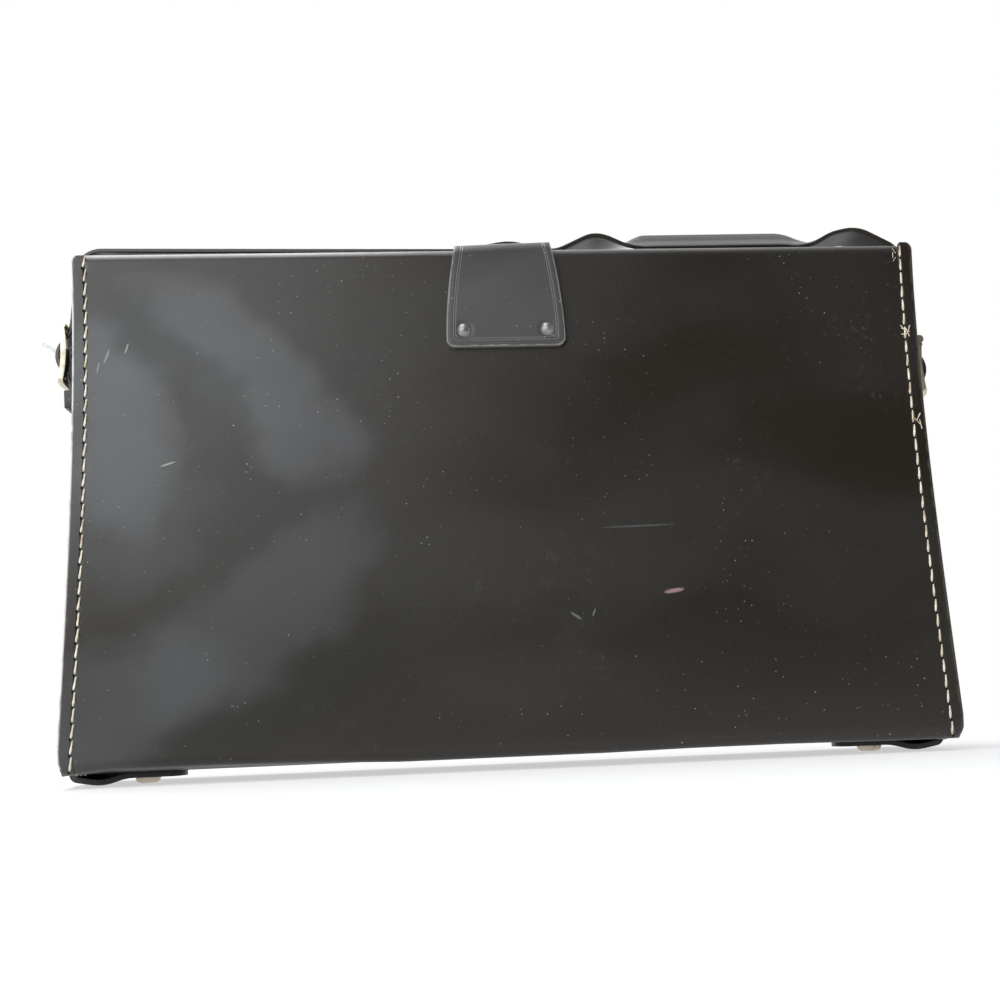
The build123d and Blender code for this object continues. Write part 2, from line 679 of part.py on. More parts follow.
# Buckles: leather chape round the middle bar, bowed frame, roller, prong and keeper
chape_low = chape_seat + chape_leather - end_x
for name, side in (("left", -1), ("right", 1)):
    bar_z = top_z - buckle_drop[name]
    bar_x = side * (end_x + bar_stand)
    with BuildPart() as chape:
        with BuildLine() as chape_path:
            FilletPolyline(
                at(side, chape_low, swing_z - swing_top_run),
                at(side, chape_low, swing_z + chape_lift),
                at(side, chape_mid_stand, bar_z - chape_mid_drop),
                at(side, bar_stand - chape_join, bar_z - 2 * chape_join),
                radius=chape_bend,
            )
        with BuildSketch(Plane(origin=chape_path.line @ 0, x_dir=(0, 1, 0), z_dir=chape_path.line % 0)):
            Rectangle(strap_width, chape_stack)
        sweep(path=chape_path.line)
        fillet(chape.edges().filter_by(Axis.X).group_by(Axis.Z)[0], swing_corner)
        with BuildSketch(Plane(origin=(bar_x, 0, bar_z), x_dir=(1, 0, 0), z_dir=(0, 1, 0))):
            Circle(bar_diameter / 2 + chape_play + chape_leather)
        extrude(amount=strap_width / 2, both=True)
        with Locations((bar_x, 0, bar_z)):
            Cylinder(
                bar_diameter / 2 + chape_play, 2 * strap_width, rotation=(90, 0, 0), mode=Mode.SUBTRACT
            )
        with Locations(at(side, bar_stand, bar_z)):
            Box(chape_slot_depth, chape_slot, chape_slot_height, mode=Mode.SUBTRACT)
        with Locations((side * chape_seat, 0, swing_z)):
            Cylinder(
                swing_shank / 2 + swing_play, 4 * chape_stack, rotation=(0, 90, 0), mode=Mode.SUBTRACT
            )
    save(chape.part, "buckle_tab_" + name)

    with BuildPart() as frame:
        with BuildSketch(Plane.XZ):
            with BuildLine():
                arcs = []
                for offset_out in (-frame_thickness / 2, frame_thickness / 2):
                    ends = bar_stand + frame_bow + offset_out
                    arcs.append(
                        ThreePointArc(
                            (side * (end_x + ends), bar_z - frame_half - heel_height / 2),
                            (side * (end_x + bar_stand + offset_out), bar_z),
                            (side * (end_x + ends), bar_z + frame_half),
                        )
                    )
                Line(arcs[0] @ 0, arcs[1] @ 0)
                Line(arcs[0] @ 1, arcs[1] @ 1)
            make_face()
            with Locations((side * (end_x + bar_stand + frame_bow), bar_z + frame_half)):
                Circle(roller_diameter / 2)
        extrude(amount=frame_width / 2, both=True)
        with Locations((bar_x, 0, bar_z + frame_half)):
            Box(
                frame_width, frame_width - 2 * frame_rail, 4 * frame_half - heel_height, mode=Mode.SUBTRACT
            )
        with Locations((bar_x, 0, bar_z)):
            Cylinder(bar_diameter / 2, frame_width - frame_rail, rotation=(90, 0, 0))
        with Locations(at(side, bar_stand + frame_bow, bar_z + frame_half)):
            Cylinder(bar_diameter / 2, frame_width - frame_rail, rotation=(90, 0, 0))
    save(frame.part, "buckle_frame_" + name)

    with BuildPart() as roller:
        with Locations(at(side, bar_stand + frame_bow, bar_z + frame_half)):
            Cylinder(roller_diameter / 2, roller_length, rotation=(90, 0, 0))
            Cylinder(
                bar_diameter / 2 + roller_play, 2 * roller_length, rotation=(90, 0, 0), mode=Mode.SUBTRACT
            )
    save(roller.part, "buckle_roller_" + name)

    with BuildPart() as prong:
        lean = radians(prong_rest[name])
        along = (side * cos(lean), 0, sin(lean))
        with BuildSketch(Plane(origin=(bar_x, 0, bar_z), x_dir=along, z_dir=(0, 1, 0))):
            Circle(bar_diameter / 2 + chape_play + prong_ring)
            with BuildLine():
                Polyline(
                    (bar_diameter / 2, prong_thickness / 2),
                    (prong_length, prong_tip / 2),
                    (prong_length, -prong_tip / 2),
                    (bar_diameter / 2, -prong_thickness / 2),
                    close=True,
                )
            make_face()
            Circle(bar_diameter / 2 + chape_play, mode=Mode.SUBTRACT)
        extrude(amount=prong_width / 2, both=True)
    save(prong.part, "prong_" + name)

    with BuildPart() as keeper:
        low = Vector(*at(side, chape_low, swing_z + chape_lift))
        high = Vector(*at(side, chape_mid_stand, bar_z - chape_mid_drop))
        upward = (high - low).normalized()
        across = Vector(side * upward.Z, 0, -side * upward.X)
        middle = high - upward * (keeper_drop - chape_mid_drop)
        middle = middle + across * ((strap_leather + billet_gap) / 2)
        with BuildSketch(Plane(origin=middle, x_dir=(0, 1, 0), z_dir=upward)):
            Rectangle(
                strap_width + 2 * keeper_play + 2 * keeper_leather,
                keeper_room + 2 * keeper_leather,
            )
            Rectangle(strap_width + 2 * keeper_play, keeper_room, mode=Mode.SUBTRACT)
        extrude(amount=keeper_height / 2, both=True)
    save(keeper.part, "keeper_" + name)


# Carrying strap: through both buckles, over their middle bars and across above the lid
billet_offset = chape_leather + billet_gap + strap_leather / 2


def billet(side, name):
    """Bends of one strap end from its tip up to the roller, each with its radius."""
    bar_z = top_z - buckle_drop[name]
    low = Vector(*at(side, chape_low, swing_z + chape_lift))
    high = Vector(*at(side, chape_mid_stand, bar_z - chape_mid_drop))
    upward = (high - low).normalized()
    across = Vector(side * upward.Z, 0, -side * upward.X)
    tip = high - upward * (billet_tip - chape_mid_drop) + across * billet_offset
    return [
        (tip, 0),
        (high + across * billet_offset, billet_bend),
        (Vector(*at(side, heel_tuck, bar_z - heel_pass)), billet_bend),
        (Vector(*at(side, bar_stand + billet_crown, bar_z)), crown_bend),
        (Vector(*at(side, roller_tuck, bar_z + heel_pass)), billet_bend),
        (Vector(*at(side, roller_pass, bar_z + frame_half + roller_diameter)), roller_bend),
    ]


route = billet(-1, "left")
route += [(Vector(share * end_x, 0, top_z + height), bend) for share, height, bend in strap_bends]
route += billet(1, "right")[::-1]
with BuildPart() as carry_strap:
    with BuildLine() as strap_path:
        FilletPolyline(*[point for point, bend in route], radius=[bend for point, bend in route[1:-1]])
    with BuildSketch(Plane(origin=strap_path.line @ 0, x_dir=(0, 1, 0), z_dir=strap_path.line % 0)):
        Rectangle(strap_width, strap_leather)
    sweep(path=strap_path.line)
    short_edges = carry_strap.edges().filter_by(lambda edge: abs(edge.length - strap_leather) < touch)
    fillet(short_edges.sort_by(Axis.Z)[:4], billet_corner)
    for name, side in (("left", -1), ("right", 1)):
        bar_z = top_z - buckle_drop[name]
        with Locations(at(side, bar_stand + billet_crown, bar_z + (prong_slot_high - prong_slot_low) / 2)):
            Box(2 * billet_crown, prong_slot, prong_slot_high + prong_slot_low, mode=Mode.SUBTRACT)
save(carry_strap.part, "carry_strap")
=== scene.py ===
import logging
import math
from dataclasses import dataclass, field
from enum import Enum
from typing import Callable, Iterable, List, Optional, Sequence, Tuple

import bmesh
import bpy
import numpy as np
from mathutils import Matrix, Vector


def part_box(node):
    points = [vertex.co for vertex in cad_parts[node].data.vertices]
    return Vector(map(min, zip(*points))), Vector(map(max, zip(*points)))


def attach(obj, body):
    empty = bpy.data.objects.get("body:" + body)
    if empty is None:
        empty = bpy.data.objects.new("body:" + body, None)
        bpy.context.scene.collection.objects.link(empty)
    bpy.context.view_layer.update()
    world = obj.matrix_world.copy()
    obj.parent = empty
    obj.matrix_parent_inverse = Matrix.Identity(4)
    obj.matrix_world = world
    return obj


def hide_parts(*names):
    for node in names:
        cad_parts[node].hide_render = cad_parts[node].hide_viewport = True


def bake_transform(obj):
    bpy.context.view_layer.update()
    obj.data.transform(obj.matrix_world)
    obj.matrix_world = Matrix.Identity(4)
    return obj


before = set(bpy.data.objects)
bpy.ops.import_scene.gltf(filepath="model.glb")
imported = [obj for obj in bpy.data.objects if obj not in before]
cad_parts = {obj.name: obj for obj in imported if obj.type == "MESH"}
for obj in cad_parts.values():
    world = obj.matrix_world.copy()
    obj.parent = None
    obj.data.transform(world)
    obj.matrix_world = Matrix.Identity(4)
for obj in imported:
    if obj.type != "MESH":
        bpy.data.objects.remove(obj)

log = logging.getLogger("camera_case")
MM = 0.001
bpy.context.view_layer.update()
GAP = 0.3 * MM
SAME = 0.01 * MM
SHARP = math.radians(50)

Point = Tuple[float, float, float]
Piece = bpy.types.Object
Node = bpy.types.Node
Socket = bpy.types.NodeSocket


class Side(Enum):
    """The two ends of the case, as signs along X."""

    LEFT = -1
    RIGHT = 1


class Wide(Enum):
    """The axis that the width of a drawn sheet lies along."""

    X = 0
    Y = 1


# Small tools of the bench


def put_down() -> None:
    """Leave edit mode and deselect everything."""
    if bpy.context.object and bpy.context.object.mode != "OBJECT":
        bpy.ops.object.mode_set(mode="OBJECT")
    bpy.ops.object.select_all(action="DESELECT")


def pick_up(piece: Piece) -> None:
    """Make one piece the active and only selected one.

    Args:
        piece: what the next operators act on.
    """
    put_down()
    piece.select_set(True)
    bpy.context.view_layer.objects.active = piece


def open_mesh(piece: Piece) -> None:
    """Pick a piece up and open its mesh, all of it selected.

    Args:
        piece: the piece that is shaped next.
    """
    pick_up(piece)
    bpy.ops.object.mode_set(mode="EDIT")
    bpy.ops.mesh.select_all(action="SELECT")


def close_mesh() -> None:
    """Leave edit mode."""
    bpy.ops.object.mode_set(mode="OBJECT")


def settle(piece: Piece) -> None:
    """Move a piece's place, turn and scale into its mesh."""
    pick_up(piece)
    bpy.ops.object.transform_apply(location=True, rotation=True, scale=True)


def select_points(piece: Piece, test: Callable[[Vector], bool]) -> None:
    """Select the points of a piece in edit mode by their place.

    Args:
        piece: the piece, in edit mode.
        test: says whether a point at a place is wanted.
    """
    bpy.ops.mesh.select_mode(type="VERT")
    mesh = bmesh.from_edit_mesh(piece.data)
    for vertex in mesh.verts:
        vertex.select = test(vertex.co)
    mesh.select_flush_mode()
    bmesh.update_edit_mesh(piece.data)


def select_faces(piece: Piece, test: Callable[[Vector], bool]) -> None:
    """Select the faces of a piece in edit mode by their middle.

    Args:
        piece: the piece, in edit mode.
        test: says whether a face with this middle is wanted.
    """
    bpy.ops.mesh.select_mode(type="FACE")
    mesh = bmesh.from_edit_mesh(piece.data)
    for face in mesh.faces:
        face.select = test(face.calc_center_median())
    mesh.select_flush_mode()
    bmesh.update_edit_mesh(piece.data)


def select_sharp(piece: Piece, test: Callable[[Vector], bool]) -> None:
    """Select the sharp edges of a piece in edit mode by their middle.

    Args:
        piece: the piece, in edit mode.
        test: says whether a sharp edge with this middle is wanted.
    """
    bpy.ops.mesh.select_mode(type="EDGE")
    mesh = bmesh.from_edit_mesh(piece.data)
    for edge in mesh.edges:
        middle = (edge.verts[0].co + edge.verts[1].co) / 2
        edge.select = edge.calc_face_angle(0.0) > SHARP and test(middle)
    bmesh.update_edit_mesh(piece.data)


def finish_modifiers(piece: Piece) -> None:
    """Apply every modifier of a piece in order.

    Args:
        piece: the piece whose modifiers are applied.
    """
    pick_up(piece)
    for modifier in list(piece.modifiers):
        bpy.ops.object.modifier_apply(modifier=modifier.name)


def smooth(piece: Piece, degrees: float = 35.0) -> None:
    """Shade a piece smooth, but for edges sharper than an angle."""
    pick_up(piece)
    bpy.ops.object.shade_smooth_by_angle(angle=math.radians(degrees))


def copy_of(piece: Piece, name: str) -> Piece:
    """Copy a piece with a mesh of its own.

    Args:
        piece: what is copied.
        name: the copy's name.

    Returns:
        The copy, without parent or custom values.
    """
    twin = piece.copy()
    twin.data = piece.data.copy()
    twin.name = name
    twin.data.name = name
    twin.parent = None
    twin.hide_render = False
    twin.hide_viewport = False
    for key in list(twin.keys()):
        del twin[key]
    bpy.context.scene.collection.objects.link(twin)
    return twin


def join(pieces: Sequence[Piece], name: str) -> Piece:
    """Join pieces into one.

    Args:
        pieces: what is joined, the first of which takes the rest.
        name: the joined piece's name.

    Returns:
        The joined piece.
    """
    put_down()
    for piece in pieces:
        piece.select_set(True)
    bpy.context.view_layer.objects.active = pieces[0]
    bpy.ops.object.join()
    joined = bpy.context.object
    joined.name = name
    joined.data.name = name
    return joined


def cut_away(piece: Piece, cutter: Piece) -> None:
    """Cut one piece's shape out of another and throw the cutter away.

    Args:
        piece: what is cut.
        cutter: the shape that is cut out.
    """
    cut = piece.modifiers.new("cut", "BOOLEAN")
    cut.operation = "DIFFERENCE"
    cut.object = cutter
    finish_modifiers(piece)
    bpy.data.objects.remove(cutter)


# Sheets of leather, drawn out row by row


def rounding(corner: float, depth: float) -> float:
    """How much a rounded corner changes a half width at a depth into the corner."""
    return -corner + math.sqrt(max(corner**2 - (corner - depth) ** 2, 0.0))


def corner_rows(corner: float, angles: Iterable[float]) -> List[float]:
    """The depths into a rounded corner at which rows are placed, one for each angle in degrees."""
    return [corner * (1 - math.sin(math.radians(angle))) for angle in angles]


@dataclass
class Row:
    """One row of a sheet: where its middle is, how wide it is and how it is rolled."""

    middle: Vector
    half: float
    run: float = 0.0
    roll: float = 0.0


class Route:
    """A path of runs and rounded corners in one upright plane."""

    def __init__(self, points: Sequence[Vector], radii: Sequence[float], step: float) -> None:
        """Round the corners of a path and divide it.

        Args:
            points: the corners, with both ends.
            radii: one radius for each corner between the ends.
            step: about how far apart the rows are.
        """
        self.places: List[Vector] = [points[0].copy()]
        self.step = step
        last = points[0]
        for before, corner, after, radius in zip(points, points[1:], points[2:], radii):
            inward = (before - corner).normalized()
            outward = (after - corner).normalized()
            half_turn = (math.pi - inward.angle(outward)) / 2
            reach = radius * math.tan(half_turn)
            self._straight(last, corner + inward * reach)
            last = corner + outward * reach
            self._corner(corner, inward, outward, radius, half_turn)
        self._straight(last, points[-1])

    def _straight(self, start: Vector, end: Vector) -> None:
        """Add the places of a straight run.

        Args:
            start: where the run starts.
            end: where it ends.
        """
        length = (end - start).length
        if length < self.step / 50:
            return
        steps = max(1, round(length / self.step))
        self.places += [start.lerp(end, index / steps) for index in range(1, steps + 1)]

    def _corner(self, corner: Vector, inward: Vector, outward: Vector, radius: float, half_turn: float) -> None:
        """Add the places of a rounded corner.

        Args:
            corner: the corner before it is rounded.
            inward: the direction from it back along the path.
            outward: the direction from it on along the path.
            radius: how much it is rounded.
            half_turn: half of the path's turn, in radians.
        """
        if half_turn < math.radians(0.5):
            return
        bisector = (inward + outward).normalized()
        centre = corner + bisector * (radius / math.cos(half_turn))
        sideways = (outward - inward).normalized()
        steps = max(3, math.ceil(math.degrees(2 * half_turn) / 9.0))
        for index in range(1, steps + 1):
            angle = -half_turn + 2 * half_turn * index / steps
            self.places.append(centre - bisector * radius * math.cos(angle) + sideways * radius * math.sin(angle))

    def rows(
        self, half: Callable[[float, Vector], float], roll: Callable[[Vector], float] = lambda place: 0.0
    ) -> List[Row]:
        """Turn the path into rows.

        Args:
            half: the half width at a length along the path and a place.
            roll: the roll at a place, in radians.

        Returns:
            The rows, from the path's start to its end.
        """
        found: List[Row] = []
        run = 0.0
        last = self.places[0]
        for place in self.places:
            run += (place - last).length
            last = place
            found.append(Row(place, max(half(run, place), 0.4 * MM), run, roll(place)))
        return found

    @property
    def length(self) -> float:
        """The length of the path."""
        return sum((b - a).length for a, b in zip(self.places, self.places[1:]))


@dataclass
class Sheet:
    """A sheet of leather that is drawn out of one cut edge."""

    name: str
    rows: List[Row]
    columns: int
    thickness: float
    wide: Wide = Wide.X
    offset: float = -1.0
    edge_round: float = 0.45 * MM
    facing: Tuple[int, Vector] = (0, Vector((0, -1, 0)))
    joined_start: bool = False
    square: Callable[[Vector], bool] = lambda middle: False

    def draw(self) -> Piece:
        """Draw the sheet with no thickness.

        Returns:
            The sheet, with its run, its width and its distance from the cut edge kept on its points.
        """
        first = self.rows[0]
        axis = self.wide.value
        put_down()
        place = first.middle.copy()
        place[1 - axis] += first.half
        bpy.ops.mesh.primitive_plane_add(size=2 * first.half, location=place)
        sheet = bpy.context.object
        sheet.name = self.name
        sheet.data.name = self.name
        settle(sheet)
        open_mesh(sheet)
        select_points(sheet, lambda co: co[1 - axis] > place[1 - axis])
        bpy.ops.mesh.delete(type="VERT")
        bpy.ops.mesh.select_all(action="SELECT")
        bpy.ops.mesh.subdivide(number_cuts=self.columns - 1)
        for before, here in zip(self.rows, self.rows[1:]):
            self._extend(before, here, axis)
        close_mesh()
        self._measure(sheet, axis)
        self._face(sheet)
        return sheet

    @staticmethod
    def _extend(before: Row, here: Row, axis: int) -> None:
        """Draw the leading edge on to the next row.

        Args:
            before: the row at the leading edge.
            here: the row that comes next.
            axis: the axis of the width.
        """
        bpy.ops.mesh.extrude_region_move(TRANSFORM_OT_translate={"value": here.middle - before.middle})
        ratio = here.half / before.half
        if abs(ratio - 1) > 1e-6:
            scale = [1.0, 1.0, 1.0]
            scale[axis] = ratio
            bpy.ops.transform.resize(value=scale, center_override=here.middle)
        turn = here.roll - before.roll
        if abs(turn) > 1e-6:
            bpy.ops.transform.rotate(value=-turn, orient_axis="X", center_override=here.middle)

    def _measure(self, sheet: Piece, axis: int) -> None:
        """Keep each point's run, width and distance from the cut edge.

        Args:
            sheet: the drawn sheet.
            axis: the axis of the width.
        """
        count = self.columns + 1
        points = np.array([vertex.co for vertex in sheet.data.vertices])
        row = np.arange(len(points)) // count
        middles = np.array([r.middle for r in self.rows])[row]
        runs = np.array([r.run for r in self.rows])
        across = points[:, axis] - middles[:, axis]
        rolls = np.array([r.roll for r in self.rows])[row]
        if axis == 1:
            across = across * np.cos(rolls) + (points[:, 2] - middles[:, 2]) * np.sin(rolls)
        halves = np.array([r.half for r in self.rows])
        far = runs.copy()
        far[0] -= float(self.joined_start)
        outline = np.concatenate([np.stack([halves, far], 1), np.stack([-halves[::-1], far[::-1]], 1)])
        flat = np.stack([across, runs[row]], 1)
        rim = distance_to_outline(flat, outline)
        put_value(sheet, "rim", rim / MM)
        layer = sheet.data.uv_layers.new(name="UVMap")
        corners = np.zeros(len(sheet.data.loops), int)
        sheet.data.loops.foreach_get("vertex_index", corners)
        layer.data.foreach_set("uv", (flat[corners] * 10).ravel())

    def _face(self, sheet: Piece) -> None:
        """Turn the sheet's grain side the right way.

        Args:
            sheet: the drawn sheet.
        """
        row, outward = self.facing
        target = self.rows[row].middle
        nearest = min(sheet.data.polygons, key=lambda face: (face.center - target).length)
        if nearest.normal.dot(outward) < 0:
            open_mesh(sheet)
            bpy.ops.mesh.flip_normals()
            close_mesh()

    def thicken(self, sheet: Piece) -> None:
        """Give a drawn sheet its thickness and round its cut edges, but for those that meet another piece.

        Args:
            sheet: the drawn sheet.
        """
        wall = sheet.modifiers.new("thickness", "SOLIDIFY")
        wall.thickness = self.thickness
        wall.offset = self.offset
        wall.use_even_offset = True
        wall.material_offset = 1
        wall.material_offset_rim = 2
        finish_modifiers(sheet)
        open_mesh(sheet)
        select_sharp(sheet, lambda middle: not self.square(middle))
        bpy.ops.mesh.bevel(offset=self.edge_round, segments=3, profile=0.5, clamp_overlap=True)
        close_mesh()
        smooth(sheet, 40)


def distance_to_outline(points: np.ndarray, outline: np.ndarray) -> np.ndarray:
    """Measure how far flat points are from a closed outline.

    Args:
        points: N flat points.
        outline: the outline's corners in order.

    Returns:
        N distances.
    """
    starts = outline
    spans = np.roll(outline, -1, 0) - starts
    lengths = np.maximum((spans**2).sum(1), 1e-18)
    best = np.full(len(points), 1e9)
    for start, span, length in zip(starts, spans, lengths):
        share = np.clip(((points - start) @ span) / length, 0, 1)
        best = np.minimum(best, np.hypot(*(points - start - share[:, None] * span).T))
    return best


def put_value(piece: Piece, name: str, values: np.ndarray) -> None:
    """Keep one number on each point of a piece."""
    attribute = piece.data.attributes.new(name, "FLOAT", "POINT")
    attribute.data.foreach_set("value", values.astype(np.float32))


# Shader groups that several finishes share


class NodeTree:
    """A short way to add and link shader nodes."""

    def __init__(self, tree: bpy.types.NodeTree) -> None:
        """Keep the tree that nodes are added to."""
        self.tree = tree

    def add(self, kind: str, **values: object) -> Node:
        """Add a node and set its properties.

        Args:
            kind: the node's type.
            values: its properties.

        Returns:
            The node.
        """
        node = self.tree.nodes.new(kind)
        for key, value in values.items():
            setattr(node, key, value)
        return node

    def link(self, source: Socket, target: Socket) -> None:
        """Link two sockets."""
        self.tree.links.new(source, target)

    def feed(self, target: Socket, value: object) -> None:
        """Link a socket, or set its value.

        Args:
            target: the input.
            value: another node's output, or a plain value.
        """
        if isinstance(value, Socket):
            self.link(value, target)
        else:
            target.default_value = value

    def put(self, node: Node, **values: object) -> Node:
        """Set or link a node's inputs by their names, with _ for each space.

        Args:
            node: the node.
            values: what each input gets.

        Returns:
            The node.
        """
        for key, value in values.items():
            self.feed(node.inputs[key.replace("_", " ")], value)
        return node

    def split(self, vector: Socket) -> bpy.types.NodeOutputs:
        """Split a vector and return X, Y and Z."""
        return self.put(self.add("ShaderNodeSeparateXYZ"), Vector=vector).outputs

    def cells(self, vector: Socket, scale: object, feature: str = "F1") -> Node:
        """Add a Voronoi texture and return its node."""
        return self.put(self.add("ShaderNodeTexVoronoi", feature=feature), Vector=vector, Scale=scale)

    def swirl(self, vector: Socket, scale: float, reach: Point) -> Socket:
        """Shift coordinates by a coloured noise.

        Args:
            vector: the coordinates.
            scale: the noise's scale.
            reach: how far each coordinate is shifted at most.

        Returns:
            The shifted coordinates.
        """
        noise = self.put(self.add("ShaderNodeTexNoise"), Vector=vector, Scale=scale)
        node = self.add("ShaderNodeVectorMath", operation="MULTIPLY_ADD")
        for socket, value in zip(node.inputs, (noise.outputs["Color"], reach, vector)):
            self.feed(socket, value)
        return node.outputs[0]

    def choose(self, share: Socket, first: Socket, second: Socket, target: Socket) -> None:
        """Mix two shaders and link the mixture.

        Args:
            share: how much of the second shows.
            first: the first shader's result.
            second: the second shader's result.
            target: what the mixture feeds.
        """
        node = self.add("ShaderNodeMixShader")
        for socket, source in zip(node.inputs, (share, first, second)):
            self.link(source, socket)
        self.link(node.outputs[0], target)

    def math(self, operation: str, *values: object, clamp: bool = False) -> Socket:
        """Add a Math node and return its result.

        Args:
            operation: what is worked out.
            values: what goes in, sockets or numbers.
            clamp: whether the result is kept between 0 and 1.

        Returns:
            The result.
        """
        node = self.add("ShaderNodeMath", operation=operation, use_clamp=clamp)
        for socket, value in zip(node.inputs, values):
            self.feed(socket, value)
        return node.outputs[0]

    def times(self, first: object, second: object, clamp: bool = False) -> Socket:
        """Multiply two values and return the product."""
        return self.math("MULTIPLY", first, second, clamp=clamp)

    def times_plus(self, first: object, second: object, added: object) -> Socket:
        """Multiply two values, add a third and return the sum."""
        return self.math("MULTIPLY_ADD", first, second, added)

    def rim(self) -> Socket:
        """Add each point's distance from its sheet's cut edge, in millimetres, and return it."""
        return self.add("ShaderNodeAttribute", attribute_name="rim").outputs["Fac"]

    def ramp(self, value: object, low: float, high: float, to_low: float = 0.0, to_high: float = 1.0) -> Socket:
        """Map a range smoothly and return the result.

        Args:
            value: what is mapped.
            low: where the range starts.
            high: where it ends.
            to_low: the result at its start.
            to_high: the result at its end.

        Returns:
            The result.
        """
        node = self.add("ShaderNodeMapRange", interpolation_type="SMOOTHSTEP")
        self.put(node, Value=value, From_Min=low, From_Max=high, To_Min=to_low, To_Max=to_high)
        return node.outputs["Result"]

    def mix(self, share: object, first: object, second: object) -> Socket:
        """Mix two colours and return the result.

        Args:
            share: how much of the second shows.
            first: the first colour.
            second: the second colour.

        Returns:
            The mixed colour.
        """
        node = self.add("ShaderNodeMix", data_type="RGBA")
        self.feed(node.inputs[0], share)
        self.feed(node.inputs[6], first)
        self.feed(node.inputs[7], second)
        return node.outputs[2]

    def noise(self, vector: object, scale: float, detail: float = 4.0, rough: float = 0.5) -> Socket:
        """Add a noise texture and return its value."""
        node = self.add("ShaderNodeTexNoise")
        return self.put(node, Vector=vector, Scale=scale, Detail=detail, Roughness=rough).outputs["Fac"]

    def place(self) -> Socket:
        """Add Object coordinates and return them."""
        return self.add("ShaderNodeTexCoord").outputs["Object"]

    def bump(self, shader: Node, height: Socket, strength: float, distance: float) -> None:
        """Raise a shader's surface by a height.

        Args:
            shader: the material's shader.
            height: the height, 1 being the full distance.
            strength: how strongly it shows.
            distance: how high it stands.
        """
        bump = self.put(self.add("ShaderNodeBump"), Strength=strength, Distance=distance, Height=height)
        self.link(bump.outputs["Normal"], shader.inputs["Normal"])

    def mapping(
        self, vector: object, turn: Point = (0, 0, 0), scale: Point = (1, 1, 1), place: Point = (0, 0, 0)
    ) -> Socket:
        """Turn and scale coordinates and return them."""
        node = self.add("ShaderNodeMapping")
        return self.put(node, Vector=vector, Location=place, Rotation=turn, Scale=scale).outputs["Vector"]

    def group(self, name: str, **values: object) -> Node:
        """Place a node group and set its inputs."""
        return self.put(self.add("ShaderNodeGroup", node_tree=bpy.data.node_groups[name]), **values)


def new_group(
    name: str, inputs: Sequence[Tuple[str, str, float]], outputs: Sequence[Tuple[str, str]]
) -> Tuple[NodeTree, bpy.types.NodeOutputs, bpy.types.NodeInputs]:
    """Start a shader group with named sockets.

    Args:
        name: the group's name.
        inputs: name, type and default of each input.
        outputs: name and type of each output.

    Returns:
        The tree, what comes in and what goes out.
    """
    group = bpy.data.node_groups.new(name, "ShaderNodeTree")
    for label, kind, default in inputs:
        socket = group.interface.new_socket(label, in_out="INPUT", socket_type="NodeSocket" + kind)
        if kind == "Float":
            socket.default_value = default
    for label, kind in outputs:
        group.interface.new_socket(label, in_out="OUTPUT", socket_type="NodeSocket" + kind)
    tree = NodeTree(group)
    return tree, tree.add("NodeGroupInput").outputs, tree.add("NodeGroupOutput").inputs


def make_grain_group() -> None:
    """Fine pores and creases of polished leather, as a height."""
    tree, source, target = new_group(
        "leather_grain", [("Vector", "Vector", 0), ("Pore Scale", "Float", 1400.0)], [("Height", "Float")]
    )
    pores = tree.cells(source["Vector"], source["Pore Scale"], "SMOOTH_F1")
    fine = tree.noise(source["Vector"], 900.0, 3.0)
    tree.link(tree.times_plus(fine, 0.6, pores.outputs["Distance"]), target["Height"])


def make_marks_group() -> None:
    """Scratches, dust, haze and cloudy handling marks, as masks."""
    tree, source, target = new_group(
        "handling_marks",
        [("Vector", "Vector", 0), ("Amount", "Float", 1.0)],
        [("Scratches", "Float"), ("Dust", "Float"), ("Haze", "Float"), ("Cloud", "Float")],
    )
    vector = source["Vector"]
    total: object = 0.0
    strokes = ((1.2, 170.0, 0.035), (-1.3, 150.0, 0.03), (0.1, 140.0, 0.03), (0.9, 230.0, 0.04))
    for index, (turn, scale, radius) in enumerate(strokes):
        turned = tree.mapping(vector, turn=(0.0, turn, 0.3), place=(0.13 * index, 0.05 * index, 0.07 * index))
        drawn = tree.mapping(turned, scale=(0.11, 1.0, 1.0))
        cells = tree.cells(drawn, scale)
        stroke = tree.ramp(cells.outputs["Distance"], radius * 0.35, radius, 1.0, 0.0)
        broken = tree.ramp(tree.noise(vector, 900.0, 2.0), 0.35, 0.60)
        total = tree.math("MAXIMUM", total, tree.times(stroke, broken))
    tree.link(tree.times(total, source["Amount"], clamp=True), target["Scratches"])
    patch = tree.ramp(tree.noise(vector, 21.0, 3.0), 0.40, 0.66)
    dust: object = 0.0
    for scale, low, spread in ((420.0, 0.03, 0.10), (260.0, 0.02, 0.05)):
        specks = tree.cells(vector, scale)
        chosen = tree.add("ShaderNodeSeparateColor")
        tree.link(specks.outputs["Color"], chosen.inputs[0])
        rare = tree.math("GREATER_THAN", chosen.outputs[0], 0.45)
        size = tree.times_plus(chosen.outputs[1], spread, low)
        dot = tree.math("LESS_THAN", specks.outputs["Distance"], size)
        shown = tree.times(tree.times(rare, dot), chosen.outputs[2])
        dust = tree.math("MAXIMUM", dust, shown)
    dust = tree.times(dust, tree.times_plus(patch, 0.85, 0.15))
    tree.link(tree.times(dust, source["Amount"], clamp=True), target["Dust"])
    fine = tree.ramp(tree.noise(vector, 420.0, 6.0, 0.7), 0.54, 0.72)
    where = tree.ramp(tree.noise(tree.mapping(vector, place=(0.3, 0.1, 0.2)), 26.0, 3.0), 0.50, 0.70)
    tree.link(tree.times(fine, where), target["Haze"])
    bent = tree.swirl(vector, 7.0, (0.05, 0.05, 0.05))
    leaning = tree.mapping(bent, turn=(0.0, -0.7, 0.0), scale=(0.75, 1.0, 1.5))
    tree.link(tree.noise(leaning, 11.0, 3.0, 0.45), target["Cloud"])


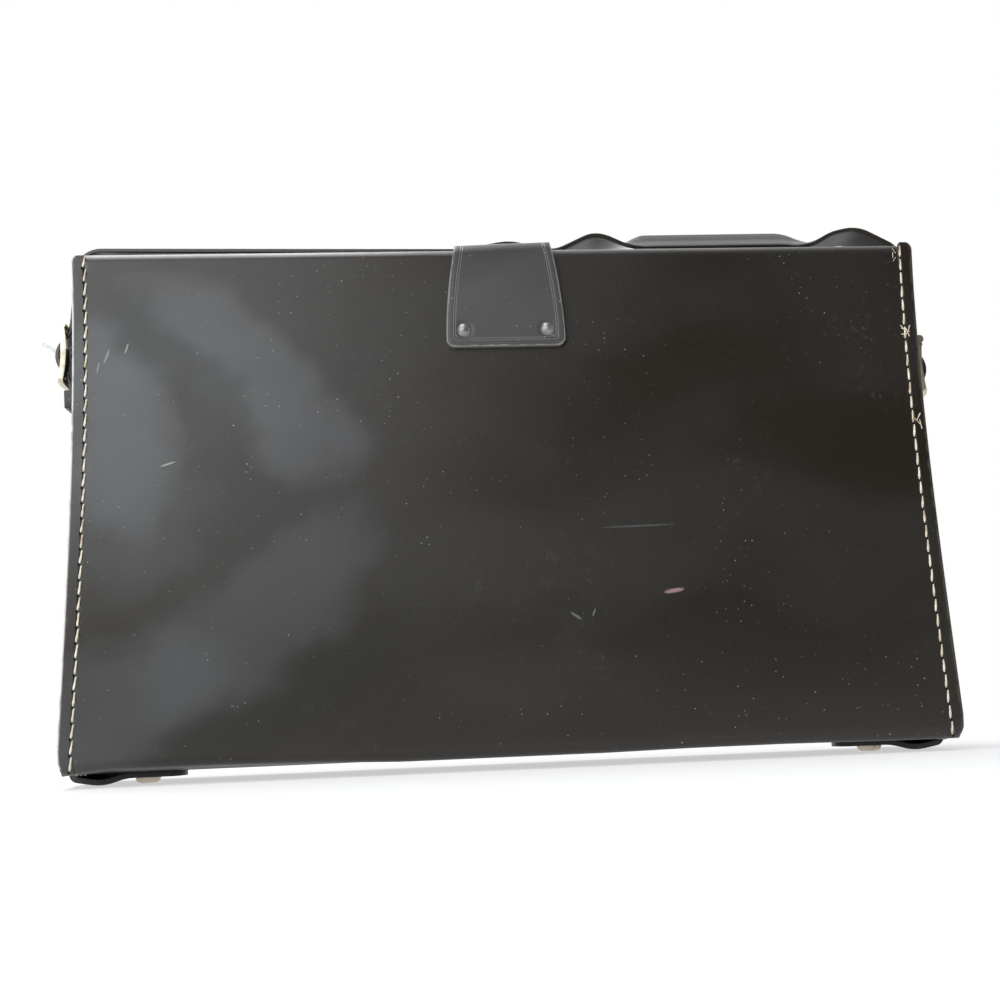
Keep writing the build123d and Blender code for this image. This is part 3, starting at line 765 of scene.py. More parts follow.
def make_mark_group() -> None:
    """One mark or painted sheen patch at a place on the back panel, as a mask."""
    tree, source, target = new_group(
        "placed_mark",
        [
            ("Vector", "Vector", 0),
            ("Right", "Float", 0.0),
            ("Up", "Float", 0.0),
            ("Turn", "Float", 0.0),
            ("Length", "Float", 0.01),
            ("Width", "Float", 0.001),
            ("Ragged", "Float", 1.6),
        ],
        [("Mask", "Float")],
    )
    parts = tree.split(source["Vector"])
    right = tree.math("SUBTRACT", parts["X"], source["Right"])
    up = tree.math("SUBTRACT", parts["Z"], source["Up"])
    cosine = tree.math("COSINE", source["Turn"])
    sine = tree.math("SINE", source["Turn"])
    along = tree.math("ADD", tree.times(right, cosine), tree.times(up, sine))
    across = tree.math("SUBTRACT", tree.times(up, cosine), tree.times(right, sine))
    along = tree.math("DIVIDE", along, source["Length"])
    across = tree.math("DIVIDE", across, source["Width"])
    away = tree.math("ADD", tree.math("POWER", tree.math("ABSOLUTE", along), 3.0), tree.math("POWER", across, 2.0))
    rough = tree.math("SUBTRACT", tree.noise(source["Vector"], 1500.0, 4.0), 0.5)
    ragged = tree.times(rough, source["Ragged"])
    inside = tree.ramp(tree.math("ADD", away, ragged), 0.0, 1.3, 1.0, 0.0)
    behind = tree.math("LESS_THAN", parts["Y"], -0.02)
    tree.link(tree.times(inside, behind), target["Mask"])


def make_rim_group() -> None:
    """Creased lines and wear that follow a sheet's cut edge."""
    tree, source, target = new_group(
        "rim_work",
        [
            ("First Crease", "Float", 2.3),
            ("Second Crease", "Float", 3.1),
            ("Crease Width", "Float", 0.3),
            ("Wear Width", "Float", 1.2),
        ],
        [("Height", "Float"), ("Wear", "Float"), ("Crease", "Float")],
    )
    rim = tree.rim()
    lines: object = 0.0
    for label in ("First Crease", "Second Crease"):
        away = tree.math("ABSOLUTE", tree.math("SUBTRACT", rim, source[label]))
        share = tree.math("DIVIDE", away, source["Crease Width"])
        lines = tree.math("MAXIMUM", lines, tree.ramp(share, 0.0, 1.0, 1.0, 0.0))
    tree.link(tree.times(lines, -1.0), target["Height"])
    tree.link(lines, target["Crease"])
    place = tree.place()
    ragged = tree.times_plus(tree.noise(place, 320.0, 4.0), 2.0, -0.6)
    near = tree.math("DIVIDE", rim, source["Wear Width"])
    tree.link(tree.ramp(tree.math("SUBTRACT", near, ragged), 0.0, 0.6, 1.0, 0.0), target["Wear"])


# Finishes


NO_CREASE = -9.0


@dataclass(frozen=True)
class PlacedMark:
    """One mark or painted sheen patch of the back panel, in millimetres: where it is, how it lies, how large it is
    and its colour.
    """

    right: float
    up: float
    turn: float
    length: float
    width: float
    colour: Point = (0.055, 0.056, 0.054)
    share: float = 0.7
    ragged: float = 1.6


@dataclass(frozen=True)
class LeatherFinish:
    """Polished black leather, with its grain, marks and worn edges, and where set, painted highlights on edge and
    fold, painted sheen and shade patches and painted crease tones.
    """

    name: str
    dark: Point = (0.0135, 0.0100, 0.0062)
    cloudy: Point = (0.0165, 0.0138, 0.0108)
    worn: Point = (0.070, 0.056, 0.044)
    roughness: float = 0.34
    cloud_gloss: float = 0.08
    grain: float = 0.04
    creases: Tuple[float, float] = (NO_CREASE, NO_CREASE)
    crease_width: float = 0.3
    crease_depth: float = 0.35
    # Painted crease tone: by default darker, painted shade in the crease grooves.
    painted_crease_tone: Point = (0.004, 0.004, 0.004)
    painted_crease_share: float = 0.35
    wear: float = 0.8
    wear_width: float = 1.2
    marks: float = 1.0
    rim: bool = True
    rivets: Tuple[float, float, float] = (0.0, 0.0, 0.0)
    placed: Tuple[PlacedMark, ...] = ()
    # how strongly the painted highlight along the left edge shows
    painted_edge_highlight: float = 0.0
    # height of the painted highlight on the lid's fold; 0 leaves it out
    fold_height: float = 0.0
    specular: float = 0.5

    def build(self) -> bpy.types.Material:
        """Make the material.

        Returns:
            The material.
        """
        material, tree, shader = new_material(self.name)
        place = tree.place()
        marks = tree.group("handling_marks", Vector=place, Amount=self.marks)
        cloud = tree.ramp(marks.outputs["Cloud"], 0.38, 0.62)
        colour = tree.mix(cloud, (*self.dark, 1), (*self.cloudy, 1))
        colour = tree.mix(tree.times(marks.outputs["Haze"], 0.30), colour, (0.075, 0.072, 0.066, 1))
        colour = tree.mix(tree.times(marks.outputs["Scratches"], 0.55), colour, (0.13, 0.12, 0.11, 1))
        drifting = tree.swirl(place, 38.0, (0.030, 0.0, 0.030))
        # Placed marks: small real marks, and on the back panel also painted sheen and painted shade patches.
        for mark in self.placed:
            placed = tree.group(
                "placed_mark",
                Vector=drifting if mark.ragged < 1 else place,
                Right=mark.right * MM,
                Up=mark.up * MM,
                Turn=mark.turn,
                Length=mark.length * MM / 2,
                Width=mark.width * MM / 2,
                Ragged=mark.ragged,
            )
            share = tree.times(placed.outputs["Mask"], mark.share)
            colour = tree.mix(share, colour, (*mark.colour, 1))
        height = self._height(tree, place, marks)
        if self.rim:
            rim = tree.group(
                "rim_work",
                First_Crease=self.creases[0],
                Second_Crease=self.creases[1],
                Crease_Width=self.crease_width,
                Wear_Width=self.wear_width,
            )
            # Crease lines painted: darker shade in the grooves by default, pale highlights on the tab.
            crease = tree.times(rim.outputs["Crease"], self.painted_crease_share)
            colour = tree.mix(crease, colour, (*self.painted_crease_tone, 1))
            worn = tree.times(rim.outputs["Wear"], self.wear)
            colour = tree.mix(worn, colour, (*self.worn, 1))
            height = tree.times_plus(rim.outputs["Height"], self.crease_depth, height)
        # Painted highlight: a pale line along the left edge of the back, lit from the left.
        if self.painted_edge_highlight > 0:
            colour = tree.mix(self._painted_edge_highlight(tree, place), colour, (0.66, 0.64, 0.61, 1))
        # Painted highlight: grey along the top of the lid's fold, stronger to the left.
        if self.fold_height > 0:
            colour = tree.mix(self._painted_fold_highlight(tree, place), colour, (0.150, 0.152, 0.156, 1))
        colour = tree.mix(tree.times(marks.outputs["Dust"], 0.8), colour, (0.45, 0.44, 0.41, 1))
        rough = tree.times_plus(cloud, self.cloud_gloss, self.roughness)
        rough = tree.times_plus(marks.outputs["Haze"], 0.20, rough)
        tree.put(shader, Base_Color=colour, Roughness=rough, Specular_IOR_Level=self.specular)
        tree.bump(shader, height, 1.0, 0.35 * MM)
        return material

    def _painted_edge_highlight(self, tree: NodeTree, place: Socket) -> Socket:
        """A painted highlight: a pale line along the left edge of the back, where the lamp on the left catches the
        rounded edge, as a mask.

        Args:
            tree: the material's tree.
            place: Object coordinates.

        Returns:
            The mask.
        """
        parts = tree.split(place)
        rim = tree.rim()
        line = tree.ramp(rim, 0.15, 0.85, 1.0, 0.0)
        left = tree.math("LESS_THAN", parts["X"], -0.10)
        behind = tree.ramp(parts["Y"], -0.0318, -0.0312, 1.0, 0.0)
        broken = tree.ramp(tree.noise(place, 130.0, 4.0), 0.30, 0.52, 0.35, 1.0)
        share = tree.times(tree.times(line, broken), tree.times(left, behind))
        return tree.times(share, self.painted_edge_highlight)

    def _painted_fold_highlight(self, tree: NodeTree, place: Socket) -> Socket:
        """A painted highlight along the lid's fold, brightest to the left where the light falls, as a mask.

        Args:
            tree: the material's tree.
            place: Object coordinates.

        Returns:
            The mask.
        """
        parts = tree.split(place)
        high = tree.ramp(parts["Z"], self.fold_height - 3.8 * MM, self.fold_height + 0.4 * MM)
        behind = tree.ramp(parts["Y"], -0.029, -0.018, 1.0, 0.0)
        sideways = tree.ramp(parts["X"], -0.02, 0.15, 0.85, 0.22)
        cloudy = tree.ramp(tree.noise(place, 45.0, 3.0), 0.25, 0.60, 0.6, 1.0)
        return tree.times(tree.times(high, behind), tree.times(sideways, cloudy))

    def _height(self, tree: NodeTree, place: Socket, marks: Node) -> Socket:
        """The relief of the grain, the scratches, the wavy panel and the dished rivets.

        Args:
            tree: the material's tree.
            place: Object coordinates.
            marks: the group of handling marks.

        Returns:
            The height.
        """
        grain = tree.group("leather_grain", Vector=place)
        height = tree.times(grain.outputs["Height"], self.grain)
        height = tree.times_plus(marks.outputs["Scratches"], -0.04, height)
        height = tree.times_plus(tree.noise(place, 30.0, 2.0), 0.35, height)
        if self.rivets[2] > 0:
            height = tree.times_plus(rivet_dish(tree, place, self.rivets), -0.5, height)
        return height


def rivet_dish(tree: NodeTree, place: Socket, rivets: Point) -> Socket:
    """Press the leather down round a pair of rivets.

    Args:
        tree: the material's tree.
        place: Object coordinates.
        rivets: how far out and how high the pair is, and how far the dish reaches.

    Returns:
        A mask that is 1 under the rivets' rims.
    """
    out, height, reach = rivets
    parts = tree.split(place)
    across = tree.math("SUBTRACT", tree.math("ABSOLUTE", parts["X"]), out)
    up = tree.math("SUBTRACT", parts["Z"], height)
    away = tree.math("SQRT", tree.math("ADD", tree.times(across, across), tree.times(up, up)))
    return tree.ramp(away, reach * 0.6, reach, 1.0, 0.0)


def new_material(name: str) -> Tuple[bpy.types.Material, NodeTree, Node]:
    """Start a material.

    Args:
        name: its name.

    Returns:
        The material, its tree and its shader.
    """
    material = bpy.data.materials.new(name)
    material.use_nodes = True
    return material, NodeTree(material.node_tree), material.node_tree.nodes["Principled BSDF"]


@dataclass(frozen=True)
class FleshFinish:
    """The rough flesh side of leather, or its cut edge."""

    name: str
    colour: Point = (0.060, 0.028, 0.020)
    pale: Point = (0.115, 0.060, 0.042)
    roughness: float = 0.85
    specular: float = 0.2

    def build(self) -> bpy.types.Material:
        """Make the material.

        Returns:
            The material.
        """
        material, tree, shader = new_material(self.name)
        place = tree.place()
        nap = tree.noise(place, 700.0, 5.0, 0.6)
        patch = tree.noise(place, 60.0, 3.0)
        share = tree.ramp(tree.times_plus(nap, 0.5, tree.times(patch, 0.5)), 0.35, 0.65)
        colour = tree.mix(share, (*self.colour, 1), (*self.pale, 1))
        tree.put(shader, Base_Color=colour, Roughness=self.roughness, Specular_IOR_Level=self.specular)
        tree.bump(shader, nap, 0.6, 0.15 * MM)
        return material


@dataclass(frozen=True)
class MetalFinish:
    """Cast or turned metal with tarnish and fine wear."""

    name: str
    colour: Point
    tarnish: Point
    roughness: float = 0.28
    metallic: float = 1.0
    tarnish_share: float = 0.5

    def build(self) -> bpy.types.Material:
        """Make the material.

        Returns:
            The material.
        """
        material, tree, shader = new_material(self.name)
        place = tree.place()
        patch = tree.ramp(tree.noise(place, 260.0, 5.0, 0.6), 0.42, 0.68)
        fine = tree.noise(place, 2600.0, 3.0)
        share = tree.times(patch, self.tarnish_share)
        colour = tree.mix(share, (*self.colour, 1), (*self.tarnish, 1))
        rough = tree.times_plus(patch, 0.18, self.roughness)
        rough = tree.times_plus(fine, 0.06, rough)
        tree.put(shader, Base_Color=colour, Roughness=rough, Metallic=self.metallic)
        tree.bump(shader, tree.math("ADD", fine, patch), 0.25, 0.05 * MM)
        return material


@dataclass(frozen=True)
class ClothFinish:
    """Short pile lining cloth."""

    name: str
    colour: Point
    shade: Point

    def build(self) -> bpy.types.Material:
        """Make the material.

        Returns:
            The material.
        """
        material, tree, shader = new_material(self.name)
        place = tree.place()
        pile = tree.noise(place, 1600.0, 4.0, 0.65)
        brushed = tree.noise(tree.mapping(place, scale=(1.0, 1.0, 0.35)), 35.0, 4.0)
        share = tree.ramp(tree.times_plus(pile, 0.55, tree.times(brushed, 0.5)), 0.35, 0.70)
        colour = tree.mix(share, (*self.shade, 1), (*self.colour, 1))
        tree.put(shader, Base_Color=colour, Roughness=0.95, Sheen_Weight=0.35, Sheen_Roughness=0.5)
        tree.bump(shader, pile, 0.7, 0.2 * MM)
        return material


@dataclass(frozen=True)
class BoardFinish:
    """Grey-brown fibre board."""

    name: str
    colour: Point
    fleck: Point

    def build(self) -> bpy.types.Material:
        """Make the material.

        Returns:
            The material.
        """
        material, tree, shader = new_material(self.name)
        place = tree.place()
        fibres = tree.noise(tree.mapping(place, scale=(1.0, 1.0, 0.25)), 1200.0, 4.0)
        colour = tree.mix(tree.ramp(fibres, 0.4, 0.65), (*self.colour, 1), (*self.fleck, 1))
        tree.put(shader, Base_Color=colour, Roughness=0.8)
        return material


@dataclass(frozen=True)
class ThreadFinish:
    """Waxed linen thread, soiled towards the leather."""

    name: str
    colour: Point = (0.74, 0.67, 0.54)
    soiled: Point = (0.42, 0.33, 0.22)

    def build(self) -> bpy.types.Material:
        """Make the material.

        Returns:
            The material.
        """
        material, tree, shader = new_material(self.name)
        place = tree.place()
        soil = tree.ramp(tree.noise(place, 190.0, 3.0), 0.40, 0.72)
        tree.put(shader, Base_Color=tree.mix(soil, (*self.colour, 1), (*self.soiled, 1)), Roughness=0.75)
        twist = tree.put(tree.add("ShaderNodeTexWave", bands_direction="DIAGONAL"), Vector=place, Scale=420.0)
        tree.bump(shader, twist.outputs["Fac"], 0.5, 0.12 * MM)
        return material


STRAP_DARK = (0.0065, 0.0058, 0.0052)
STRAP_CLOUDY = (0.0105, 0.0098, 0.0092)
RIVET_OUT = 15.6 * MM
RIVET_DISH = 4.2 * MM
# Large soft patches on the left of the back: painted blue-grey sheen of a reflection, and painted darker streaks of
# shade between them.
PAINTED_SHEEN = (0.075, 0.078, 0.082)
PAINTED_SHADE_STREAK = (0.004, 0.004, 0.003)
# The first seven are painted sheen and shade patches; the rest are small real marks: a pinkish mark, a long line,
# pale scratches and greenish specks.
PANEL_MARKS_AND_SHEEN = (
    PlacedMark(-80.0, 160.0, -0.78, 110.0, 40.0, PAINTED_SHEEN, 0.48, 0.5),
    PlacedMark(-126.0, 140.0, -1.35, 90.0, 44.0, PAINTED_SHEEN, 0.60, 0.5),
    PlacedMark(-120.0, 110.0, 0.10, 60.0, 60.0, PAINTED_SHEEN, 0.22, 0.5),
    PlacedMark(-76.0, 72.0, 0.72, 110.0, 46.0, PAINTED_SHEEN, 0.32, 0.5),
    PlacedMark(-122.0, 42.0, 0.55, 80.0, 50.0, PAINTED_SHEEN, 0.36, 0.5),
    PlacedMark(-107.0, 165.0, -0.85, 90.0, 26.0, PAINTED_SHADE_STREAK, 0.65, 0.5),
    PlacedMark(-80.0, 32.0, 0.60, 150.0, 30.0, PAINTED_SHADE_STREAK, 0.35, 0.5),
    PlacedMark(57.1, 60.9, 0.14, 7.6, 1.7, (0.30, 0.19, 0.19), 0.9),
    PlacedMark(45.8, 85.0, 0.02, 29.0, 0.8, (0.075, 0.076, 0.074), 0.7),
    PlacedMark(-138.8, 156.1, 1.29, 4.3, 0.6, (0.30, 0.30, 0.29), 0.8),
    PlacedMark(-145.9, 153.2, 1.26, 6.0, 0.6, (0.28, 0.28, 0.27), 0.7),
    PlacedMark(-148.9, 148.9, 1.40, 4.6, 0.5, (0.28, 0.28, 0.27), 0.6),
    PlacedMark(-123.6, 112.4, 0.30, 5.8, 0.7, (0.30, 0.30, 0.29), 0.8),
    PlacedMark(21.0, 53.0, -0.60, 5.0, 1.1, (0.16, 0.18, 0.16), 0.6),
    PlacedMark(27.5, 54.0, 1.20, 3.4, 0.7, (0.20, 0.21, 0.18), 0.6),
)


# Loose wisps of thread: right and up in millimetres, slant, and length and width as shares of a stitch
FRAYS = (
    (153.6, 157.9, 62.0, 0.75, 0.55),
    (154.3, 157.0, 20.0, 0.80, 0.60),
    (153.2, 156.3, 95.0, 0.65, 0.50),
    (152.6, 158.8, 38.0, 0.55, 0.40),
    (155.0, 158.4, -18.0, 0.60, 0.50),
    (155.0, 123.5, -30.0, 0.75, 0.60),
    (154.4, 121.8, 40.0, 0.70, 0.55),
    (155.6, 120.6, 8.0, 0.80, 0.60),
    (152.4, 190.0, 30.0, 0.50, 0.30),
    (151.8, 188.2, -4.0, 0.50, 0.30),
    (152.3, 186.6, -38.0, 0.45, 0.30),
)


class Palette:
    """Every finish of the case, each made once."""

    def __init__(self, rivet_height: float, fold_height: float) -> None:
        """Build the finishes.

        Args:
            rivet_height: how high the tab rivets are.
            fold_height: how high the top of the lid's fold is.
        """
        make_grain_group()
        make_marks_group()
        make_mark_group()
        make_rim_group()
        self.shell = LeatherFinish(
            "case_leather",
            creases=(4.9, NO_CREASE),
            crease_width=0.9,
            crease_depth=0.6,
            placed=PANEL_MARKS_AND_SHEEN,
            painted_edge_highlight=0.9,
        ).build()
        self.lid = LeatherFinish("lid_leather", fold_height=fold_height).build()
        self.tab = LeatherFinish(
            "tab_leather",
            dark=(0.024, 0.023, 0.022),
            cloudy=(0.050, 0.049, 0.047),
            worn=(0.20, 0.19, 0.17),
            creases=(2.4, 3.2),
            crease_width=0.28,
            # Pale crease lines: painted highlights on the tab's creases.
            painted_crease_tone=(0.16, 0.16, 0.155),
            painted_crease_share=0.45,
            wear_width=0.6,
            rivets=(RIVET_OUT, rivet_height, RIVET_DISH),
        ).build()
        self.strap = LeatherFinish(
            "strap_leather",
            dark=STRAP_DARK,
            cloudy=STRAP_CLOUDY,
            worn=(0.030, 0.022, 0.016),
            roughness=0.30,
            creases=(1.6, NO_CREASE),
        ).build()
        self.plain_leather = LeatherFinish("plain_leather", rim=False).build()
        self.flesh = FleshFinish("flesh_side").build()
        self.dark_flesh = FleshFinish("strap_flesh", (0.013, 0.006, 0.005), (0.030, 0.014, 0.011), 0.7, 0.08).build()
        self.cut = FleshFinish("cut_edge", (0.010, 0.008, 0.007), (0.028, 0.023, 0.019), 0.38).build()
        self.pale_cut = FleshFinish("pale_cut_edge", (0.14, 0.13, 0.12), (0.36, 0.34, 0.31), 0.45).build()
        self.brass = MetalFinish("nickelled_brass", (0.66, 0.60, 0.48), (0.40, 0.33, 0.22), 0.36).build()
        self.steel = MetalFinish("prong_steel", (0.42, 0.41, 0.40), (0.24, 0.22, 0.20), 0.36).build()
        self.rivet = MetalFinish("black_rivet", (0.22, 0.22, 0.22), (0.40, 0.39, 0.37), 0.30, 0.8, 0.45).build()
        self.dark_leather = LeatherFinish("band_leather", STRAP_DARK, STRAP_CLOUDY, rim=False).build()
        self.cloth = ClothFinish("lining_cloth", (0.23, 0.035, 0.040), (0.12, 0.015, 0.020)).build()
        self.board = BoardFinish("fibre_board", (0.30, 0.24, 0.17), (0.18, 0.14, 0.10)).build()
        self.thread = ThreadFinish("linen_thread").build()
        # Awl holes: near-black, painted shade inside the holes.
        self.hole = FleshFinish("awl_hole", (0.002, 0.002, 0.002), (0.006, 0.004, 0.003), 0.9).build()


def dress(piece: Piece, *materials: bpy.types.Material) -> None:
    """Give a piece its materials, in slot order.

    Args:
        piece: the piece.
        materials: its materials, in slot order.
    """
    piece.data.materials.clear()
    for material in materials:
        piece.data.materials.append(material)


# Sub-assemblies


@dataclass
class CaseSizes:
    """The places that the pieces share, read from the frame."""

    half: float = 0.0
    back: float = 0.0
    front: float = 0.0
    bottom: float = 0.0
    rim: float = 0.0
    top: float = 0.0
    lid_half: float = 0.0
    lid_front: float = 0.0
    flap_end: float = 0.0
    leather: float = 2.2 * MM
    roll: float = 4.5 * MM
    lid_corner: float = 5.5 * MM
    waist: float = 2.2 * MM
    crown: float = 1.5 * MM
    stitch_inset: float = 4.9 * MM
    ear_rise: float = 2.6 * MM
    lift_reach: float = 30.0 * MM
    lift_start: float = 8.0 * MM
    lift_spread: float = 16.0 * MM
    lift_places: Tuple[float, ...] = (-160, -152, -145, -105, -74, -43, 30, 62, 95, 130, 160)
    lift_heights: Tuple[float, ...] = (0.0, 0.9, 1.7, 1.7, 1.2, 0.2, 0.2, 0.6, 0.6, 0.2, 0.0)

    @classmethod
    def read(cls) -> "CaseSizes":
        """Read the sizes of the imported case.

        Returns:
            The sizes.
        """
        shell_low, shell_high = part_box("shell_wrap")
        lid_low, lid_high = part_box("lid_cover")
        return cls(
            half=shell_high.x,
            back=shell_low.y,
            front=shell_high.y,
            bottom=shell_low.z,
            rim=shell_high.z,
            top=lid_high.z,
            lid_half=lid_high.x,
            lid_front=lid_high.y,
            flap_end=lid_low.z,
        )

    def wrap(self, start: float, end: float, step: float) -> Route:
        """Walk down the back, under the bottom and up the front.

        Args:
            start: the height on the back where the walk starts.
            end: the height on the front where it ends.
            step: about how far apart its places are.

        Returns:
            The route.
        """
        corners = ((self.back, start), (self.back, self.bottom), (self.front, self.bottom), (self.front, end))
        return Route([Vector((0, across, up)) for across, up in corners], [self.roll, self.roll], step)

    def half_at(self, height: float) -> float:
        """The case's half width at a height: its side edges are a little hollow, most of all above the middle."""
        share = min(max((self.top - height) / (self.top - self.bottom), 0.0), 1.0)
        return self.half - self.waist * math.sin(math.pi * share**0.75)

    def lift_at(self, place: Vector) -> Vector:
        """How far the back's lower edge has drawn up beside the left corner and right of the middle.

        Args:
            place: a place on the wrap.

        Returns:
            The shift, which is straight up.
        """
        low = min(max(1.0 - (place.z - self.bottom) / self.lift_reach, 0.0), 1.0)
        behind = min(max((-place.y - self.lift_start) / self.lift_spread, 0.0), 1.0)
        lift = float(np.interp(place.x / MM, self.lift_places, self.lift_heights)) * MM
        return Vector((0, 0, lift * low * behind))


def meets_at(height: float) -> Callable[[Vector], bool]:
    """Make the test for the cut edge at a height on the back, where two pieces of leather meet."""
    return lambda middle: abs(middle.z - height) < SAME and middle.y < 0


@dataclass
class BodyShell:
    """The case's back, bottom and front in one sheet."""

    sizes: CaseSizes
    palette: Palette
    ear_corner: float = 2.8 * MM
    knock: float = 1.5 * MM
    knock_reach: float = 5.5 * MM
    knock_stretch: float = 3.5
    right_ear: float = 1.4 * MM
    row_step: float = 4.0 * MM
    columns: int = 80

    def build(self) -> None:
        """Draw the wrap, cut the notch for the lid's fold and dress it."""
        size = self.sizes
        _, front_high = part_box("front_board")
        ear_top = size.rim + size.ear_rise
        route = size.wrap(ear_top, front_high.z, self.row_step)
        drops = corner_rows(self.ear_corner, (90, 72, 54, 36, 18, 0))
        route.places = [Vector((0, size.back, ear_top - drop)) for drop in drops] + route.places[1:]
        fold_low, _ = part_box("lid_fold")
        sheet = Sheet(
            "body_shell",
            route.rows(self._half),
            self.columns,
            size.leather,
            joined_start=True,
            square=meets_at(fold_low.z),
        )
        shell = sheet.draw()
        self._cut_notch(shell)
        for vertex in shell.data.vertices:
            vertex.co += size.lift_at(vertex.co)
            if vertex.co.x > size.lid_half and vertex.co.y < 0:
                vertex.co.z += self.right_ear * max((vertex.co.z - size.rim) / size.ear_rise + 2.0, 0.0) / 3.0
        sheet.thicken(shell)
        dress(shell, self.palette.shell, self.palette.flesh, self.palette.cut)
        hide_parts("shell_wrap")
        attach(shell, "case")
        log.info("body_shell: %d faces", len(shell.data.polygons))

    def _half(self, run: float, place: Vector) -> float:
        """The half width of a row, with the rounded corners of the ears and the knocked lower corners.

        Args:
            run: the length along the route, which this width doesn't depend on.
            place: the row's middle.

        Returns:
            The half width.
        """
        size = self.sizes
        half = size.half_at(place.z)
        drop = size.rim + size.ear_rise - place.z
        if place.y < 0 and drop < self.ear_corner:
            half += rounding(self.ear_corner, drop)
        inward = size.roll * (1 - math.sqrt(0.5))
        below = max(size.front - inward - abs(place.y), 0.0) / self.knock_stretch
        away = math.hypot(below, max(place.z - (size.bottom + inward), 0.0))
        return half - self.knock * max(1 - away / self.knock_reach, 0.0) ** 1.5

    def _cut_notch(self, shell: Piece) -> None:
        """Cut away the back's upper edge between the ears, where the lid's leather folds over.

        Args:
            shell: the wrap before it is thickened.
        """
        size = self.sizes
        fold_low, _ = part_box("lid_fold")
        edge = size.lid_half + GAP
        open_mesh(shell)
        right, up = (1, 0, 0), (0, 0, 1)
        for place, normal in (((-edge, 0, 0), right), ((edge, 0, 0), right), ((0, 0, fold_low.z), up)):
            bpy.ops.mesh.select_all(action="SELECT")
            bpy.ops.mesh.bisect(plane_co=place, plane_no=normal)
        select_faces(shell, lambda co: abs(co.x) < edge and co.z > fold_low.z and co.y < 0)
        bpy.ops.mesh.delete(type="FACE")
        close_mesh()


@dataclass
class LidLeather:
    """The lid's fold, top and front flap in one sheet."""

    sizes: CaseSizes
    palette: Palette
    flap_corner: float = 14.0 * MM
    row_step: float = 4.0 * MM
    columns: int = 62

    def build(self) -> None:
        """Draw the lid's leather, thicken it and dress it."""
        size = self.sizes
        fold_low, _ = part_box("lid_fold")
        points = [
            Vector((0, size.back, fold_low.z)),
            Vector((0, size.back, size.top + size.crown)),
            Vector((0, size.lid_front, size.top)),
            Vector((0, size.lid_front, size.flap_end)),
        ]
        route = Route(points, [size.roll, size.lid_corner], self.row_step)
        rises = corner_rows(self.flap_corner, (0, 12, 24, 36, 48, 60, 70, 80, 90))
        kept = [p for p in route.places if p.y < size.lid_front - MM or p.z > size.flap_end + self.flap_corner + MM]
        route.places = kept + [Vector((0, size.lid_front, size.flap_end + rise)) for rise in rises]
        sheet = Sheet(
            "lid_leather",
            route.rows(self._half),
            self.columns,
            size.leather,
            joined_start=True,
            square=meets_at(fold_low.z),
        )
        lid = sheet.draw()
        sheet.thicken(lid)
        dress(lid, self.palette.lid, self.palette.flesh, self.palette.cut)
        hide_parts("lid_cover", "lid_fold")
        bend_with_lid(lid)
        log.info("lid_leather: %d faces", len(lid.data.polygons))

    def _half(self, run: float, place: Vector) -> float:
        """The half width of a row, with the flap's rounded corners.

        Args:
            run: the length along the route, which this width doesn't depend on.
            place: the row's middle.

        Returns:
            The half width.
        """
        rise = place.z - self.sizes.flap_end
        half = self.sizes.lid_half
        if place.y > 0 and rise < self.flap_corner:
            half += rounding(self.flap_corner, rise)
        return half


def bend_with_lid(piece: Piece) -> None:
    """Move a piece's placement into its mesh.

    Args:
        piece: a piece that crosses the hinge.
    """
    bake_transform(piece)


